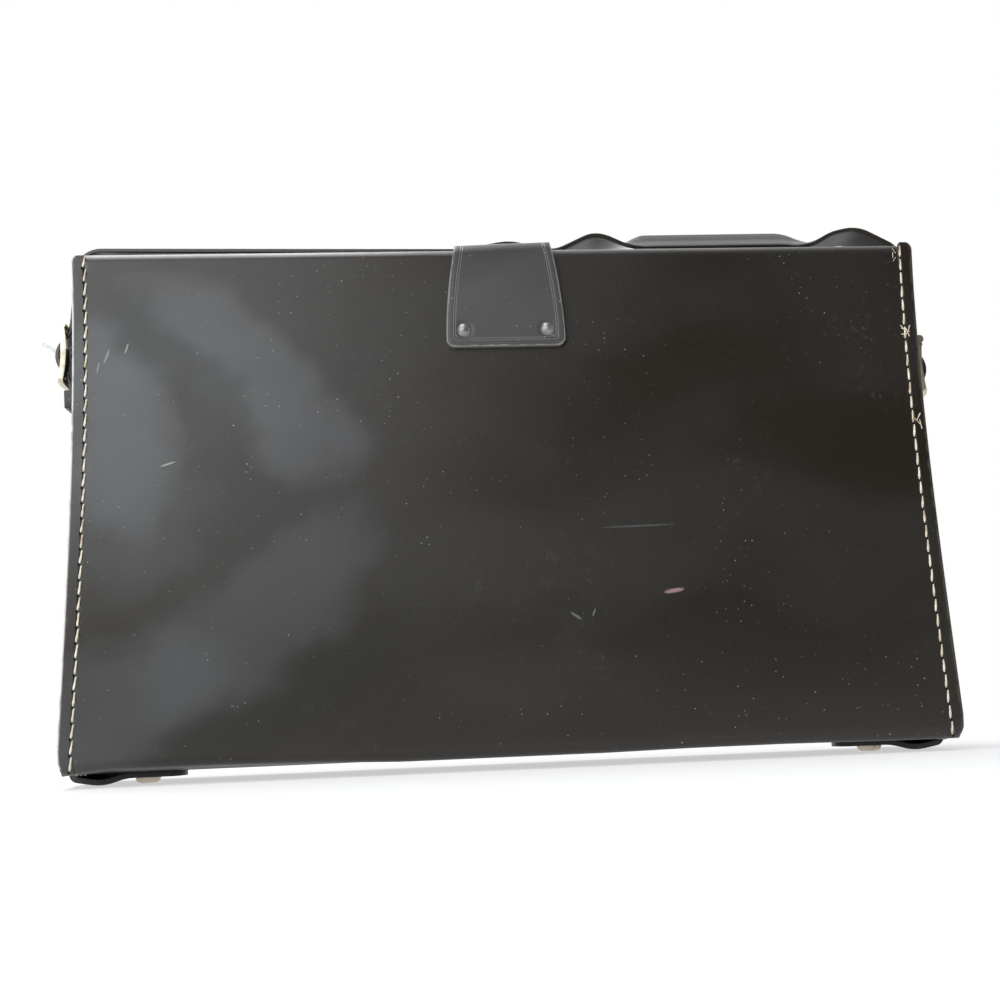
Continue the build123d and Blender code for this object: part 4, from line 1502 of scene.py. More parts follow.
@dataclass
class ClosingTab:
    """The riveted tab that runs from the back over the lid to the lock."""

    sizes: CaseSizes
    palette: Palette
    leather: float = 2.0 * MM
    foot_corner: float = 3.0 * MM
    row_step: float = 2.0 * MM
    columns: int = 22
    sleeve: float = 0.6 * MM
    right_lift: float = 1.2 * MM
    lift_reach: float = 22.0 * MM
    plate_rim: float = 5.0 * MM
    slot_corner: float = 4.2 * MM
    neck_half: float = field(init=False, default=0.0)
    foot_half: float = field(init=False, default=0.0)
    foot_height: float = field(init=False, default=0.0)
    end_height: float = field(init=False, default=0.0)
    slot_height: float = field(init=False, default=0.0)
    front_start: float = field(init=False, default=0.0)

    def build(self) -> None:
        """Draw the tab, cut its slot and dress it."""
        size = self.sizes
        back_low, back_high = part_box("tab_back")
        top_low, top_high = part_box("tab_top")
        _, fold_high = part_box("tab_fold")
        plate_low, plate_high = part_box("lock_plate")
        self.neck_half = fold_high.x
        self.foot_half = back_high.x
        self.foot_height = back_low.z
        self.end_height = top_low.z
        self.slot_height = (plate_low.z + plate_high.z) / 2
        self.front_start = size.top - size.lid_corner
        points = [
            Vector((0, back_low.y, self.foot_height)),
            Vector((0, back_low.y, top_high.z + size.crown)),
            Vector((0, top_high.y, top_high.z)),
            Vector((0, top_high.y, self.end_height)),
        ]
        route = Route(points, [size.roll + self.leather, size.lid_corner + self.leather], self.row_step)
        rises = corner_rows(self.foot_corner, (90, 70, 50, 30, 15, 0))
        places = [Vector((0, back_low.y, self.foot_height + rise)) for rise in rises]
        places += [p for p in route.places if p.y > 0 or p.z > self.foot_height + self.foot_corner + MM]
        tip = self.slot_height - self.end_height
        places = [p for p in places if p.y < 0 or p.z > self.slot_height + MM]
        places += [
            Vector((0, top_high.y, self.slot_height - tip * math.sin(math.radians(a)))) for a in range(0, 91, 6)
        ]
        route.places = places
        sheet = Sheet("closing_tab", route.rows(self._half), self.columns, self.leather)
        tab = sheet.draw()
        self._tilt(tab)
        sheet.thicken(tab)
        self._cut_slot(tab, plate_low, plate_high)
        dress(tab, self.palette.tab, self.palette.flesh, self.palette.pale_cut)
        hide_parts("tab_back", "tab_fold", "tab_top")
        bend_with_lid(tab)
        log.info("closing_tab: %d faces", len(tab.data.polygons))

    @staticmethod
    def _flare(foot_half: float, foot: float, half: float, height: float, place: float) -> float:
        """The half width on an arc that leaves the foot upright and ends at another width.

        Args:
            foot_half: the half width at the foot.
            foot: the foot's height.
            half: the half width at the arc's end.
            height: the height of the arc's end.
            place: the height that is asked for.

        Returns:
            The half width there.
        """
        inset = foot_half - half
        rise = height - foot
        radius = (inset**2 + rise**2) / (2 * inset)
        return foot_half - radius + math.sqrt(radius**2 - (place - foot) ** 2)

    def _half(self, run: float, place: Vector) -> float:
        """The half width of a row: flared sides at both ends and a round tip.

        Args:
            run: the length along the route, which this width doesn't depend on.
            place: the row's middle.

        Returns:
            The half width.
        """
        if place.y < 0 and place.z < self.sizes.top:
            half = self._flare(self.foot_half, self.foot_height, self.neck_half, self.sizes.top, place.z)
            rise = place.z - self.foot_height
            if rise < self.foot_corner:
                half += rounding(self.foot_corner, rise)
            return half
        if place.y < 0 or place.z > self.front_start:
            return self.neck_half
        if place.z > self.foot_height:
            return self._flare(self.foot_half, self.foot_height, self.neck_half, self.front_start, place.z)
        tongue_half = self.neck_half - GAP
        if place.z > self.slot_height:
            return self._flare(self.foot_half, self.foot_height, tongue_half, self.slot_height, place.z)
        tip = self.slot_height - self.end_height
        share = min((self.slot_height - place.z) / tip, 1.0)
        return tongue_half * math.sqrt(max(1.0 - share**2, 0.0))

    def _tilt(self, tab: Piece) -> None:
        """Lift the right side of the tab a little where it rolls over the back's edge.

        Args:
            tab: the tab before it is thickened.
        """
        size = self.sizes
        for vertex in tab.data.vertices:
            away = math.hypot(vertex.co.y - size.back, vertex.co.z - size.top) / self.lift_reach
            share = max(1.0 - away, 0.0)
            rise = self.right_lift * (vertex.co.x / self.neck_half + 1.0) / 2.0
            vertex.co.z += rise * share * share * (3.0 - 2.0 * share)

    def _cut_slot(self, tab: Piece, plate_low: Vector, plate_high: Vector) -> None:
        """Cut the slot that the lock's sleeve is clinched through.

        Args:
            tab: the thickened tab.
            plate_low: the lock plate's low corner.
            plate_high: the lock plate's high corner.
        """
        rim = self.plate_rim - self.sleeve
        width = plate_high.x - plate_low.x - 2 * rim
        height = plate_high.z - plate_low.z - 2 * rim
        put_down()
        bpy.ops.mesh.primitive_cube_add(
            size=1, location=(0, plate_low.y, self.slot_height), scale=(width, 4 * self.leather + 8 * MM, height)
        )
        cutter = bpy.context.object
        settle(cutter)
        corner = cutter.modifiers.new("corner", "BEVEL")
        corner.width = self.slot_corner
        corner.segments = 5
        corner.affect = "EDGES"
        corner.limit_method = "ANGLE"
        finish_modifiers(cutter)
        cut_away(tab, cutter)


@dataclass
class SoftenedNodes:
    """Leather and cloth pieces whose shape is right, given rounded edges and their finish."""

    palette: Palette

    def build(self) -> None:
        """Round the edges of each piece and dress it."""
        leather = self.palette.plain_leather
        dark = self.palette.dark_leather
        cloth = self.palette.cloth
        plan = [
            ("gusset_left", "end_panel_left", 0.5 * MM, leather, "case", "case_leather"),
            ("gusset_right", "end_panel_right", 0.5 * MM, leather, "case", "case_leather"),
            ("buckle_tab_left", "chape_left", 0.3 * MM, dark, "strap", "strap_leather"),
            ("buckle_tab_right", "chape_right", 0.3 * MM, dark, "strap", "strap_leather"),
            ("keeper_left", "strap_keeper_left", 0.35 * MM, dark, "strap", "strap_leather"),
            ("keeper_right", "strap_keeper_right", 0.35 * MM, dark, "strap", "strap_leather"),
            ("lining", "cloth_lining", 0.25 * MM, cloth, "case", "lining_cloth"),
            ("divider", "padded_divider", 0.6 * MM, cloth, "case", "lining_cloth"),
            ("lid_lining", "lid_cloth", 0.2 * MM, cloth, "lid", "lining_cloth"),
            ("flap_lining", "flap_cloth", 0.2 * MM, cloth, "lid", "lining_cloth"),
        ]
        for node, name, width, material, body, slot in plan:
            piece = self.soften(node, name, width)
            dress(piece, material)
            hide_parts(node)
            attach(piece, body)
            log.info("%s: %d faces", name, len(piece.data.polygons))

    @staticmethod
    def soften(
        node: str,
        name: str,
        width: float,
        corners: Optional[Callable[[Vector], bool]] = None,
        corner: float = 0.0,
    ) -> Piece:
        """Copy a node and round its sharp edges.

        Args:
            node: the node that is copied.
            name: the copy's name.
            width: the radius of the rounded edges.
            corners: picks the edges, by their middle, that are first rounded much more.
            corner: the radius of those.

        Returns:
            The copy.
        """
        piece = copy_of(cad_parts[node], name)
        open_mesh(piece)
        bpy.ops.mesh.remove_doubles(threshold=0.005 * MM)
        bpy.ops.mesh.dissolve_limited(angle_limit=math.radians(1.0))
        if corners:
            select_sharp(piece, corners)
            bpy.ops.mesh.bevel(offset=corner, segments=6, profile=0.5)
        close_mesh()
        edge = piece.modifiers.new("edge", "BEVEL")
        edge.limit_method = "ANGLE"
        edge.angle_limit = math.radians(40)
        edge.width = width
        edge.segments = 3
        finish_modifiers(piece)
        smooth(piece, 35)
        return piece


@dataclass
class Band:
    """A strap with rounded tips that runs along a route."""

    sizes: CaseSizes
    palette: Palette
    half: float = 8.0 * MM
    tip_corner: float = 6.0 * MM
    edge_round: float = 0.5 * MM
    columns: int = 8
    length: float = field(init=False, default=0.0)

    def sheet(
        self,
        name: str,
        route: Route,
        leather: float,
        facing: Tuple[int, Vector],
        roll: Callable[[Vector], float] = lambda place: 0.0,
    ) -> Sheet:
        """Lay out the strap's sheet and note its length.

        Args:
            name: the piece's name.
            route: the way it runs.
            leather: its thickness.
            facing: one of its rows, and where the grain side faces there.
            roll: the roll at a place, in radians.

        Returns:
            The sheet, ready to be drawn.
        """
        self.length = route.length
        rows = route.rows(self._half, roll)
        return Sheet(name, rows, self.columns, leather, Wide.Y, 0.0, self.edge_round, facing)

    def _half(self, run: float, place: Vector) -> float:
        """The half width of a row, with the strap's rounded tips."""
        away = min(run, self.length - run)
        return self.half + (rounding(self.tip_corner, away) if away < self.tip_corner else 0.0)


@dataclass
class CarryStrap(Band):
    """The carrying strap: through both buckles and across above the lid, with its twist."""

    leather: float = 1.6 * MM
    bar_stand: float = 7.8 * MM
    frame_half: float = 11.0 * MM
    heel_pass: float = 9.4 * MM
    heel_tuck: float = 6.8 * MM
    roller_tuck: float = 6.2 * MM
    roller_pass: float = 5.6 * MM
    roller_rise: float = 14.2 * MM
    crown: float = 4.5 * MM
    slot_width: float = 3.0 * MM
    slot_low: float = 1.5 * MM
    slot_high: float = 7.5 * MM
    twist: float = 42.0
    bends: Tuple[Tuple[float, float, float], ...] = (
        (-164.0, 12.2, 9.0),
        (-14.0, 10.1, 40.0),
        (5.0, 13.6, 20.0),
        (23.0, 9.2, 12.0),
        (39.0, 16.8, 11.0),
        (50.5, 14.2, 12.0),
        (62.0, 16.4, 20.0),
        (119.0, 16.6, 20.0),
        (131.0, 14.6, 14.0),
        (149.0, 18.2, 14.0),
        (165.6, 9.0, 8.0),
    )
    cup: float = 0.9 * MM
    twist_from: float = 43.0
    twist_to: float = 141.0
    twist_reach: float = 20.0
    tab_stand: float = (3.2 + 2.2) * MM
    keeper_stand: float = 0.85 * MM
    keeper_drop: float = 13.0 * MM
    row_step: float = 3.0 * MM

    def build(self) -> None:
        """Draw the strap along its route and dress it."""
        left = self._end(Side.LEFT)
        right = self._end(Side.RIGHT)
        top = [(Vector((x * MM, 0, self.sizes.top + h * MM)), bend * MM) for x, h, bend in self.bends]
        corners = left + top + right[::-1]
        route = Route([place for place, _ in corners], [bend for _, bend in corners[1:-1]], self.row_step)
        facing = (len(route.places) // 3, Vector((0, 0, 1)))
        sheet = self.sheet("carrying_strap", route, self.leather, facing, self._roll)
        strap = sheet.draw()
        self._cup(strap, sheet.rows, sheet.columns + 1)
        sheet.thicken(strap)
        for side in Side:
            self._cut_slot(strap, side)
        dress(strap, self.palette.strap, self.palette.dark_flesh, self.palette.cut)
        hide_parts("carry_strap")
        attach(strap, "strap")
        log.info("carrying_strap: %d faces, %.0f mm long", len(strap.data.polygons), self.length / MM)

    def _cup(self, strap: Piece, rows: Sequence[Row], count: int) -> None:
        """Hollow the strap across its width where it is twisted.

        Args:
            strap: the strap before it is thickened.
            rows: its rows.
            count: how many points a row has.
        """
        for index, vertex in enumerate(strap.data.vertices):
            row = rows[index // count]
            share = row.roll / math.radians(self.twist)
            across = 2.0 * (index % count) / (count - 1) - 1.0
            depth = self.cup * share * (across * across - 1.0)
            vertex.co += Vector((0, -math.sin(row.roll), math.cos(row.roll))) * depth

    def _end(self, side: Side) -> List[Tuple[Vector, float]]:
        """The bends of one end, from its tip up to the roller.

        Args:
            side: the end of the case.

        Returns:
            Each corner of the route with the radius of its bend.
        """
        name = side.name.lower()
        sign = side.value
        keep_low, keep_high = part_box("keeper_" + name)
        bar = self._bar(side)
        end = sign * self.sizes.half
        keeper = Vector((sign * (abs(keep_low.x + keep_high.x) / 2), 0, (keep_low.z + keep_high.z) / 2))
        seat = keeper + Vector((sign * self.keeper_stand, 0, 0))
        upward = (Vector((end + sign * self.tab_stand, 0, bar - self.keeper_drop)) - seat).normalized()
        return [
            (seat - upward * 10.0 * MM, 0.0),
            (seat + upward * 5.0 * MM, 6.0 * MM),
            (Vector((end + sign * self.heel_tuck, 0, bar - self.heel_pass)), 6.0 * MM),
            (Vector((end + sign * (self.bar_stand + self.crown), 0, bar)), 8.0 * MM),
            (Vector((end + sign * self.roller_tuck, 0, bar + self.heel_pass)), 6.0 * MM),
            (Vector((end + sign * self.roller_pass, 0, bar + self.roller_rise)), 12.0 * MM),
        ]

    def _bar(self, side: Side) -> float:
        """How high a buckle's middle bar is."""
        roller_low, roller_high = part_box("buckle_roller_" + side.name.lower())
        return (roller_low.z + roller_high.z) / 2 - self.frame_half

    def _cut_slot(self, strap: Piece, side: Side) -> None:
        """Cut the slot that a buckle's prong rises through.

        Args:
            strap: the thickened strap.
            side: the end that is cut.
        """
        out = self.sizes.half + self.bar_stand + self.crown
        middle = self._bar(side) + (self.slot_high - self.slot_low) / 2
        put_down()
        bpy.ops.mesh.primitive_cube_add(
            size=1,
            location=(side.value * out, 0, middle),
            scale=(2 * self.crown, self.slot_width, self.slot_high + self.slot_low),
        )
        cutter = bpy.context.object
        settle(cutter)
        cut_away(strap, cutter)

    def _roll(self, place: Vector) -> float:
        """The twist at a place: near edge low between the two humps.

        Args:
            place: the row's middle.

        Returns:
            The roll, in radians.
        """
        if place.z < self.sizes.top:
            return 0.0
        along = place.x / MM
        rise = min(max((along - self.twist_from) / self.twist_reach, 0.0), 1.0)
        fall = min(max((self.twist_to - along) / self.twist_reach, 0.0), 1.0)
        share = min(rise, fall)
        return math.radians(self.twist) * share * share * (3 - 2 * share)


@dataclass
class EndBands(Band):
    """The strap of each end: a studded tail that bows out under the bottom, then up the end to the pivot."""

    leather: float = 2.0 * MM
    tail_length: float = 38.0 * MM
    stud_inset: float = 24.0 * MM
    tail_flat: float = 6.5 * MM
    bow_inset: float = 10.0 * MM
    bow: float = 2.62 * MM
    corner_stand: float = 0.5 * MM
    corner_drop: float = 0.6 * MM
    settled: float = 24.0 * MM
    shank: float = 1.7 * MM
    lean: float = 0.9
    row_step: float = 1.6 * MM

    def build(self) -> None:
        """Draw both straps and dress them."""
        for side in Side:
            self._one(side)

    def _one(self, side: Side) -> None:
        """Draw one end's strap, bore it for its rivets and dress it.

        Args:
            side: the end of the case.
        """
        name = side.name.lower()
        sign = side.value
        size = self.sizes
        _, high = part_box("end_strap_" + name)
        stud_low, stud_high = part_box("tail_stud_" + name)
        pivot_low, pivot_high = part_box("swing_rivet_" + name)
        flat = size.bottom - self.leather / 2
        plan = [
            (size.half - self.tail_length, flat, 0.0),
            (size.half - self.stud_inset + self.tail_flat, flat, 20.0 * MM),
            (size.half - self.bow_inset, flat - self.bow, 16.0 * MM),
            (size.half + self.corner_stand + self.leather / 2, flat - self.corner_drop, 2.4 * MM),
            (pivot_plane(name, self.leather), size.bottom + self.settled, 20.0 * MM),
            (pivot_plane(name, self.leather), high.z, 0.0),
        ]
        points = [Vector((sign * out, 0, up)) for out, up, _ in plan]
        route = Route(points, [bend for _, _, bend in plan[1:-1]], self.row_step)
        facing = (len(route.places) - 8, Vector((sign, 0, 0)))
        sheet = self.sheet("end_band_" + name, route, self.leather, facing)
        band = sheet.draw()
        self._lean(band, sheet.rows, sheet.columns + 1, flat)
        sheet.thicken(band)
        stud = Vector(((stud_low.x + stud_high.x) / 2, 0, flat))
        pivot = Vector((points[-1].x, 0, (pivot_low.z + pivot_high.z) / 2))
        bore(band, stud, (0, 0, 0), self.shank)
        bore(band, pivot, (0, math.pi / 2, 0), self.shank)
        dress(band, self.palette.dark_leather, self.palette.flesh, self.palette.cut)
        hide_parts("end_strap_" + name)
        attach(band, "case")
        log.info("%s: %d faces, %.0f mm long", band.name, len(band.data.polygons), self.length / MM)

    def _lean(self, band: Piece, rows: Sequence[Row], count: int, flat: float) -> None:
        """Let the bow hang lower at the back than at the front, as a strap that has been bent to one side.

        Args:
            band: the strap before it is thickened.
            rows: its rows.
            count: how many points a row has.
            flat: how high its middle lies against the bottom.
        """
        for index, vertex in enumerate(band.data.vertices):
            depth = max(flat - rows[index // count].middle.z, 0.0)
            vertex.co.z += self.lean * depth * (vertex.co.y + self.half) / (2 * self.half)


def pivot_plane(name: str, leather: float) -> float:
    """How far out the middle of an end strap lies at its pivot."""
    tab_low, tab_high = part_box("buckle_tab_" + name)
    return min(abs(tab_low.x), abs(tab_high.x)) - GAP - leather / 2


def bore(piece: Piece, place: Vector, turn: Point, radius: float) -> None:
    """Cut a round hole.

    Args:
        piece: what is bored.
        place: the hole's middle.
        turn: the hole's rotation, from upright.
        radius: the hole's radius.
    """
    put_down()
    bpy.ops.mesh.primitive_cylinder_add(vertices=24, radius=radius, depth=8 * MM, location=place, rotation=turn)
    cutter = bpy.context.object
    settle(cutter)
    cut_away(piece, cutter)


@dataclass
class Stitching:
    """Hand stitching along both side seams, with its awl holes and loose ends."""

    sizes: CaseSizes
    palette: Palette
    pitch: float = 5.5 * MM
    length: float = 4.8 * MM
    width: float = 0.95 * MM
    slants: Tuple[float, float] = (-8.0, -4.0)
    strap_gap: float = 9.0 * MM
    roll_gap: float = 0.2 * MM
    roll_gaps: Tuple[float, float] = (2.0 * MM, 3.4 * MM)
    frays: Tuple[Tuple[float, float, float, float, float], ...] = FRAYS

    def build(self) -> None:
        """Sew both seams."""
        stitch = self._one_stitch()
        hole = self._one_hole()
        for side in Side:
            stitches = []
            holes = []
            for place, along, outward in self._places(side):
                matrix = self._matrix(place, along, outward, side)
                stitches.append(self._set(stitch, matrix, Vector((0, 0, 0))))
                holes.append(self._set(hole, matrix, Vector((-0.25 * MM * side.value, 0.5 * self.pitch, 0.0))))
            stitches += [self._fray(stitch, *fray) for fray in self.frays if fray[0] * side.value > 0]
            seam = join(stitches, "seam_thread_" + side.name.lower())
            marks = join(holes, "awl_holes_" + side.name.lower())
            for piece, material in ((seam, self.palette.thread), (marks, self.palette.hole)):
                settle(piece)
                dress(piece, material)
                smooth(piece, 60)
                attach(piece, "case")
            log.info("seam %s: %d stitches", side.name, len(stitches))
        for original in (stitch, hole):
            bpy.data.objects.remove(original)

    def _one_stitch(self) -> Piece:
        """One stitch: two plies of thread laid with a twist, which dip into the leather at both ends.

        Returns:
            The stitch, which lies along Y.
        """
        half_rings = ((0.1, 1.0), (0.3, 0.96), (0.44, 0.72), (0.5, 0.25))
        rings = [(-along, width) for along, width in half_rings[::-1]] + list(half_rings)
        put_down()
        bpy.ops.mesh.primitive_circle_add(vertices=8, radius=self.width / 2, fill_type="NGON")
        stitch = bpy.context.object
        stitch.rotation_euler = (math.pi / 2, 0, 0)
        stitch.scale = (rings[0][1], 0.74 * rings[0][1], 1)
        stitch.location = (0, rings[0][0] * self.length, 0)
        settle(stitch)
        open_mesh(stitch)
        for (before, slim), (here, plump) in zip(rings, rings[1:]):
            place = Vector((0, here * self.length, 0))
            step = (here - before) * self.length
            bpy.ops.mesh.extrude_region_move(TRANSFORM_OT_translate={"value": (0, step, 0)})
            bpy.ops.transform.resize(value=(plump / slim, 1, plump / slim), center_override=place)
            bpy.ops.transform.rotate(value=math.radians(38), orient_axis="Y", center_override=place)
        bpy.ops.mesh.select_all(action="SELECT")
        bpy.ops.mesh.normals_make_consistent(inside=False)
        close_mesh()
        return stitch

    def _fray(
        self, stitch: Piece, right: float, up: float, turn: float, length: float, width: float
    ) -> Piece:
        """Lay one loose wisp of thread on the back.

        Args:
            stitch: the stitch that is copied.
            right: its place to the right, in millimetres.
            up: its height, in millimetres.
            turn: its slant from upright, in degrees.
            length: its length, as a share of a stitch's.
            width: its width, as a share of a stitch's.

        Returns:
            The wisp.
        """
        place = Vector((right * MM, self.sizes.back - 0.25 * MM, up * MM))
        facing = Matrix.Rotation(math.pi / 2, 4, "X")
        slant = Matrix.Rotation(math.radians(turn), 4, "Z")
        shape = Matrix.Diagonal((width, length, width, 1.0))
        return self._set(stitch, Matrix.Translation(place) @ facing @ slant @ shape, Vector((0, 0, 0)))

    def _one_hole(self) -> Piece:
        """One awl hole: a shallow dark dish, whose dark colour is painted shade inside the hole.

        Returns:
            The hole.
        """
        put_down()
        bpy.ops.mesh.primitive_uv_sphere_add(segments=8, ring_count=6, radius=0.5)
        hole = bpy.context.object
        hole.scale = (0.75 * MM, 1.3 * MM, 0.12 * MM)
        settle(hole)
        return hole

    @staticmethod
    def _set(original: Piece, matrix: Matrix, shift: Vector) -> Piece:
        """Place a copy of a stitch or a hole.

        Args:
            original: the stitch or the hole.
            matrix: the turn and place of the stitch.
            shift: how far the copy is moved along the stitch's own axes.

        Returns:
            The copy.
        """
        twin = copy_of(original, original.name + "_copy")
        twin.matrix_world = matrix @ Matrix.Translation(shift)
        return twin

    def _matrix(self, place: Vector, along: Vector, outward: Vector, side: Side) -> Matrix:
        """The turn and place of one stitch.

        Args:
            place: the stitch's middle.
            along: the seam's direction.
            outward: the leather's outward normal.
            side: the seam's end of the case.

        Returns:
            The matrix.
        """
        across = along.cross(outward)
        turn = Matrix((across, along, outward)).transposed().to_4x4()
        slant = self.slants[side is Side.RIGHT]
        slant += 2.5 * math.sin(7.3 * place.z / MM + 3.1 * place.y / MM)
        return Matrix.Translation(place) @ turn @ Matrix.Rotation(math.radians(slant), 4, "Z")

    def _places(self, side: Side) -> Iterable[Tuple[Vector, Vector, Vector]]:
        """Each stitch's place, direction and outward normal, from the top of the back round to the front's edge.

        Args:
            side: the seam's end of the case.

        Returns:
            The place, direction and normal of one stitch after another.
        """
        size = self.sizes
        _, front_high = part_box("front_board")
        places = size.wrap(size.rim + size.ear_rise + 0.6 * MM, front_high.z, 0.5 * MM).places
        run = 0.0
        due = self.pitch / 2
        for before, here in zip(places, places[1:]):
            run += (here - before).length
            if run < due:
                continue
            due += self.pitch
            along = (here - before).normalized()
            outward = Vector((0, along.z, -along.y))
            if here.z < size.bottom + MM and abs(here.y) < self.strap_gap:
                continue
            if size.bottom + self.roll_gap < here.z < size.bottom + self.roll_gaps[side is Side.RIGHT]:
                continue
            inset = size.half_at(here.z) - size.stitch_inset
            place = Vector((side.value * inset, here.y, here.z))
            yield place + size.lift_at(place) + outward * 0.02 * MM, along, outward


def both(*stems: str) -> List[str]:
    """The names of nodes that there are two of, on the left and on the right."""
    return [stem + end for stem in stems for end in ("_left", "_right")]


@dataclass
class Fittings:
    """Metal pieces and hidden boards that keep their shape and get their finish, and the buckles' frames."""

    palette: Palette
    bow_edge: float = 0.35 * MM
    bow_corner: float = 4.2 * MM

    def build(self) -> None:
        """Dress every node that stays."""
        plan = {
            self.palette.rivet: ["tab_back_rivets", "tab_front_rivets"],
            self.palette.brass: ["lock_plate", "lock_ring", "lock_base", "lock_rivets", "lock_knob"]
            + both("tail_stud", "swing_rivet", "buckle_roller"),
            self.palette.steel: both("prong"),
            self.palette.board: ["back_board", "bottom_board", "front_board"] + both("end_board") + ["lid_board"],
        }
        for material, names in plan.items():
            for name in names:
                dress(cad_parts[name], material)
                log.info("%s: %s", name, material.name)
        for side in Side:
            self._frame(side)

    def _frame(self, side: Side) -> None:
        """Round a buckle's frame, most of all the corners of its lower end.

        Args:
            side: the end of the case.
        """
        node = "buckle_frame_" + side.name.lower()
        low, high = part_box(node)
        rounded = SoftenedNodes.soften(
            node,
            "buckle_bow_" + side.name.lower(),
            self.bow_edge,
            lambda middle: abs(middle.y) > high.y - 0.1 * MM and middle.z < low.z + 0.6 * MM,
            self.bow_corner,
        )
        dress(rounded, self.palette.brass)
        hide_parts(node)
        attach(rounded, "strap")
        log.info("%s: %d faces", rounded.name, len(rounded.data.polygons))


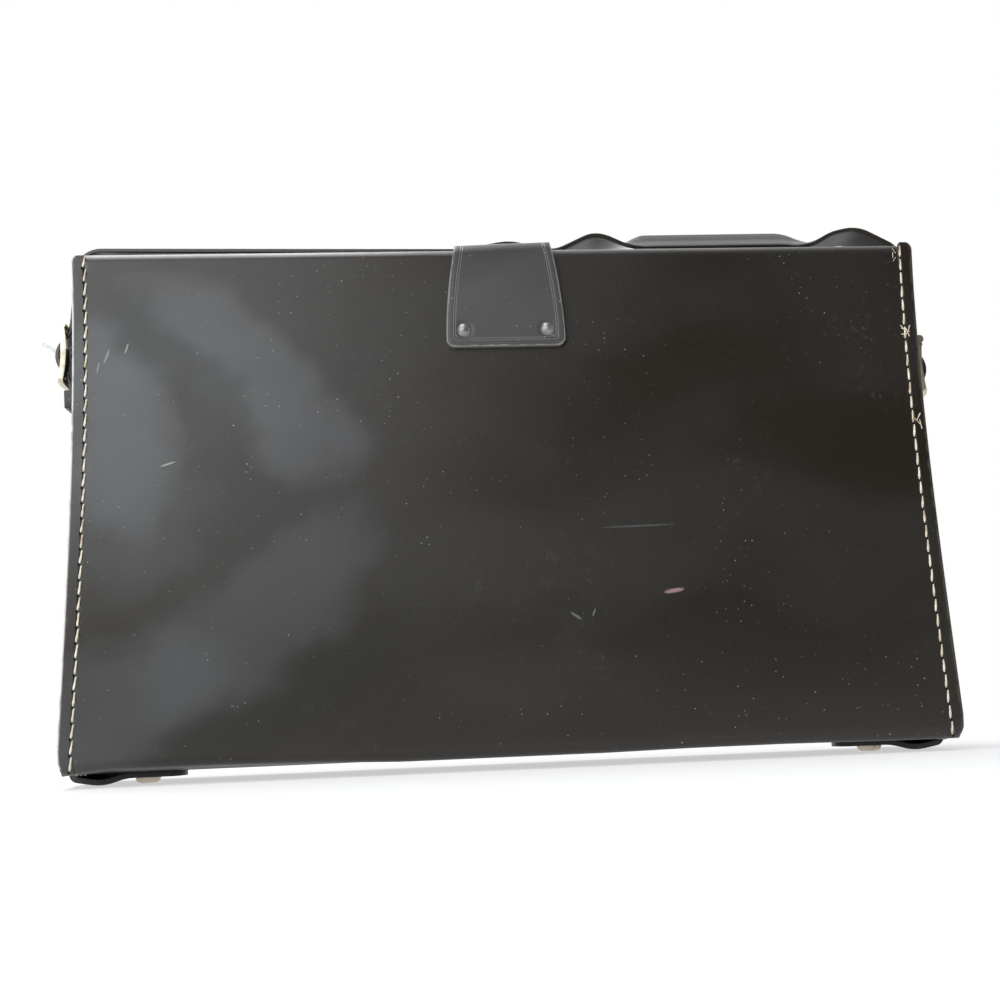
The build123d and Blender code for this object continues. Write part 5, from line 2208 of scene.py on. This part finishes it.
@dataclass
class Studio:
    """Floor, soft light and the photograph's camera."""

    camera_place: Point = (-35.6 * MM, -447.0 * MM, 18.6 * MM)
    camera_look: Point = (0.0730, 0.9804, 0.1828)
    camera_up: Point = (0.0275, -0.1851, 0.9823)
    lens: float = 41.9

    def build(self) -> None:
        """Set up the studio."""
        self._camera()
        self._floor()
        self._lamps()
        self._card("dark_card", (0.95, -1.35, 0.60), (2.0, 1.7), (0.012, 0.009, 0.006))
        self._card("green_card", (0.0, -0.72, 0.085), (1.9, 0.17), (0.004, 0.030, 0.020))
        self._world()
        bpy.context.scene.view_settings.view_transform = "Standard"

    def _camera(self) -> None:
        """Place the camera at the photograph's angle."""
        put_down()
        bpy.ops.object.camera_add()
        camera = bpy.context.object
        camera.name = "photo_camera"
        look = Vector(self.camera_look).normalized()
        up = Vector(self.camera_up)
        up = (up - look * up.dot(look)).normalized()
        right = look.cross(up)
        turn = Matrix((right, up, -look)).transposed().to_4x4()
        camera.matrix_world = Matrix.Translation(self.camera_place) @ turn
        camera.data.lens = self.lens
        camera.data.sensor_width = 36.0
        camera.data.clip_start = 0.01
        bpy.context.scene.camera = camera

    def _floor(self) -> None:
        """Lay a pale floor that keeps the case's shadow and fades into the white behind."""
        put_down()
        bpy.ops.mesh.primitive_plane_add(size=8.0, location=(0, 0, 0))
        floor = bpy.context.object
        floor.name = "studio_floor"
        material, tree, shader = new_material("floor_paper")
        tree.put(shader, Base_Color=(0.80, 0.80, 0.80, 1), Roughness=0.9, Specular_IOR_Level=0.2)
        glow = tree.put(tree.add("ShaderNodeEmission"), Color=(1, 1, 1, 1), Strength=1.0)
        paths = tree.add("ShaderNodeLightPath")
        place = tree.place()
        away = tree.add("ShaderNodeVectorMath", operation="LENGTH")
        tree.link(place, away.inputs[0])
        far = tree.ramp(away.outputs["Value"], 0.15, 1.1, 0.55, 1.0)
        direct = tree.math("MAXIMUM", paths.outputs["Is Camera Ray"], paths.outputs["Is Glossy Ray"])
        seen = tree.times(direct, far)
        surface = tree.tree.nodes["Material Output"].inputs["Surface"]
        tree.choose(seen, shader.outputs[0], glow.outputs[0], surface)
        dress(floor, material)

    @staticmethod
    def _lamp(name: str, place: Point, target: Point, size: Tuple[float, float], power: float, tint: Point) -> None:
        """Add one soft lamp.

        Args:
            name: the lamp's name.
            place: its middle.
            target: what it faces.
            size: its width and height.
            power: its power, in watts.
            tint: its colour.
        """
        put_down()
        bpy.ops.object.light_add(type="AREA", location=place)
        lamp = bpy.context.object
        lamp.name = name
        lamp.data.shape = "RECTANGLE"
        lamp.data.size, lamp.data.size_y = size
        lamp.data.energy = power
        lamp.data.color = tint
        direction = Vector(target) - Vector(place)
        lamp.rotation_euler = direction.to_track_quat("-Z", "Y").to_euler()

    def _lamps(self) -> None:
        """A window-like lamp to the left of the camera, a weak fill, and a lamp overhead."""
        self._lamp("window", (-0.78, -1.05, 0.40), (-0.10, 0, 0.12), (1.5, 1.5), 23.0, (0.94, 0.97, 1.0))
        self._lamp("fill", (1.0, -0.1, 0.6), (0, 0, 0.1), (0.7, 0.7), 1.2, (1.0, 0.98, 0.95))
        self._lamp("skylight", (-0.32, 0.04, 1.1), (-0.3, 0.04, 0.1), (1.1, 0.5), 10.5, (0.98, 0.99, 1.0))
        self._lamp("overhead", (-0.1, 0.5, 1.2), (0, 0, 0.1), (1.8, 1.8), 10.0, (1.0, 1.0, 1.0))
        self._lamp("behind", (-0.3, 1.2, 0.5), (0, 0, 0.1), (1.4, 1.4), 12.0, (0.97, 0.97, 1.0))

    @staticmethod
    def _card(name: str, place: Point, size: Tuple[float, float], colour: Point) -> None:
        """Stand a dark card in front, which only reflections show, as the dark things in the room do.

        Args:
            name: the card's name.
            place: its middle.
            size: its width and height.
            colour: its colour.
        """
        put_down()
        bpy.ops.mesh.primitive_plane_add(size=1, location=place, rotation=(math.pi / 2, 0, 0))
        flag = bpy.context.object
        flag.name = name
        flag.scale = (size[0], size[1], 1.0)
        settle(flag)
        material, tree, shader = new_material(name + "_felt")
        tree.put(shader, Base_Color=(*colour, 1), Roughness=1.0, Specular_IOR_Level=0.0)
        dress(flag, material)
        flag.visible_camera = False
        flag.visible_diffuse = False
        flag.visible_shadow = False

    @staticmethod
    def _world() -> None:
        """Light the room evenly, and show white behind the case."""
        world = bpy.data.worlds.new("studio")
        bpy.context.scene.world = world
        world.use_nodes = True
        tree = NodeTree(world.node_tree)
        room = tree.put(world.node_tree.nodes["Background"], Color=(0.95, 0.97, 1.0, 1), Strength=0.26)
        white = tree.put(tree.add("ShaderNodeBackground"), Color=(1, 1, 1, 1))
        paths = tree.add("ShaderNodeLightPath")
        surface = world.node_tree.nodes["World Output"].inputs["Surface"]
        tree.choose(paths.outputs["Is Camera Ray"], room.outputs[0], white.outputs[0], surface)


def main() -> None:
    """Build the camera case around its frame."""
    logging.basicConfig(level=logging.INFO, format="%(message)s")
    sizes = CaseSizes.read()
    rivets_low, rivets_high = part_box("tab_back_rivets")
    palette = Palette((rivets_low.z + rivets_high.z) / 2, sizes.top + sizes.crown)
    Studio().build()
    BodyShell(sizes, palette).build()
    LidLeather(sizes, palette).build()
    ClosingTab(sizes, palette).build()
    CarryStrap(sizes, palette).build()
    EndBands(sizes, palette).build()
    SoftenedNodes(palette).build()
    Stitching(sizes, palette).build()
    Fittings(palette).build()


if __name__ == "__main__":
    main()
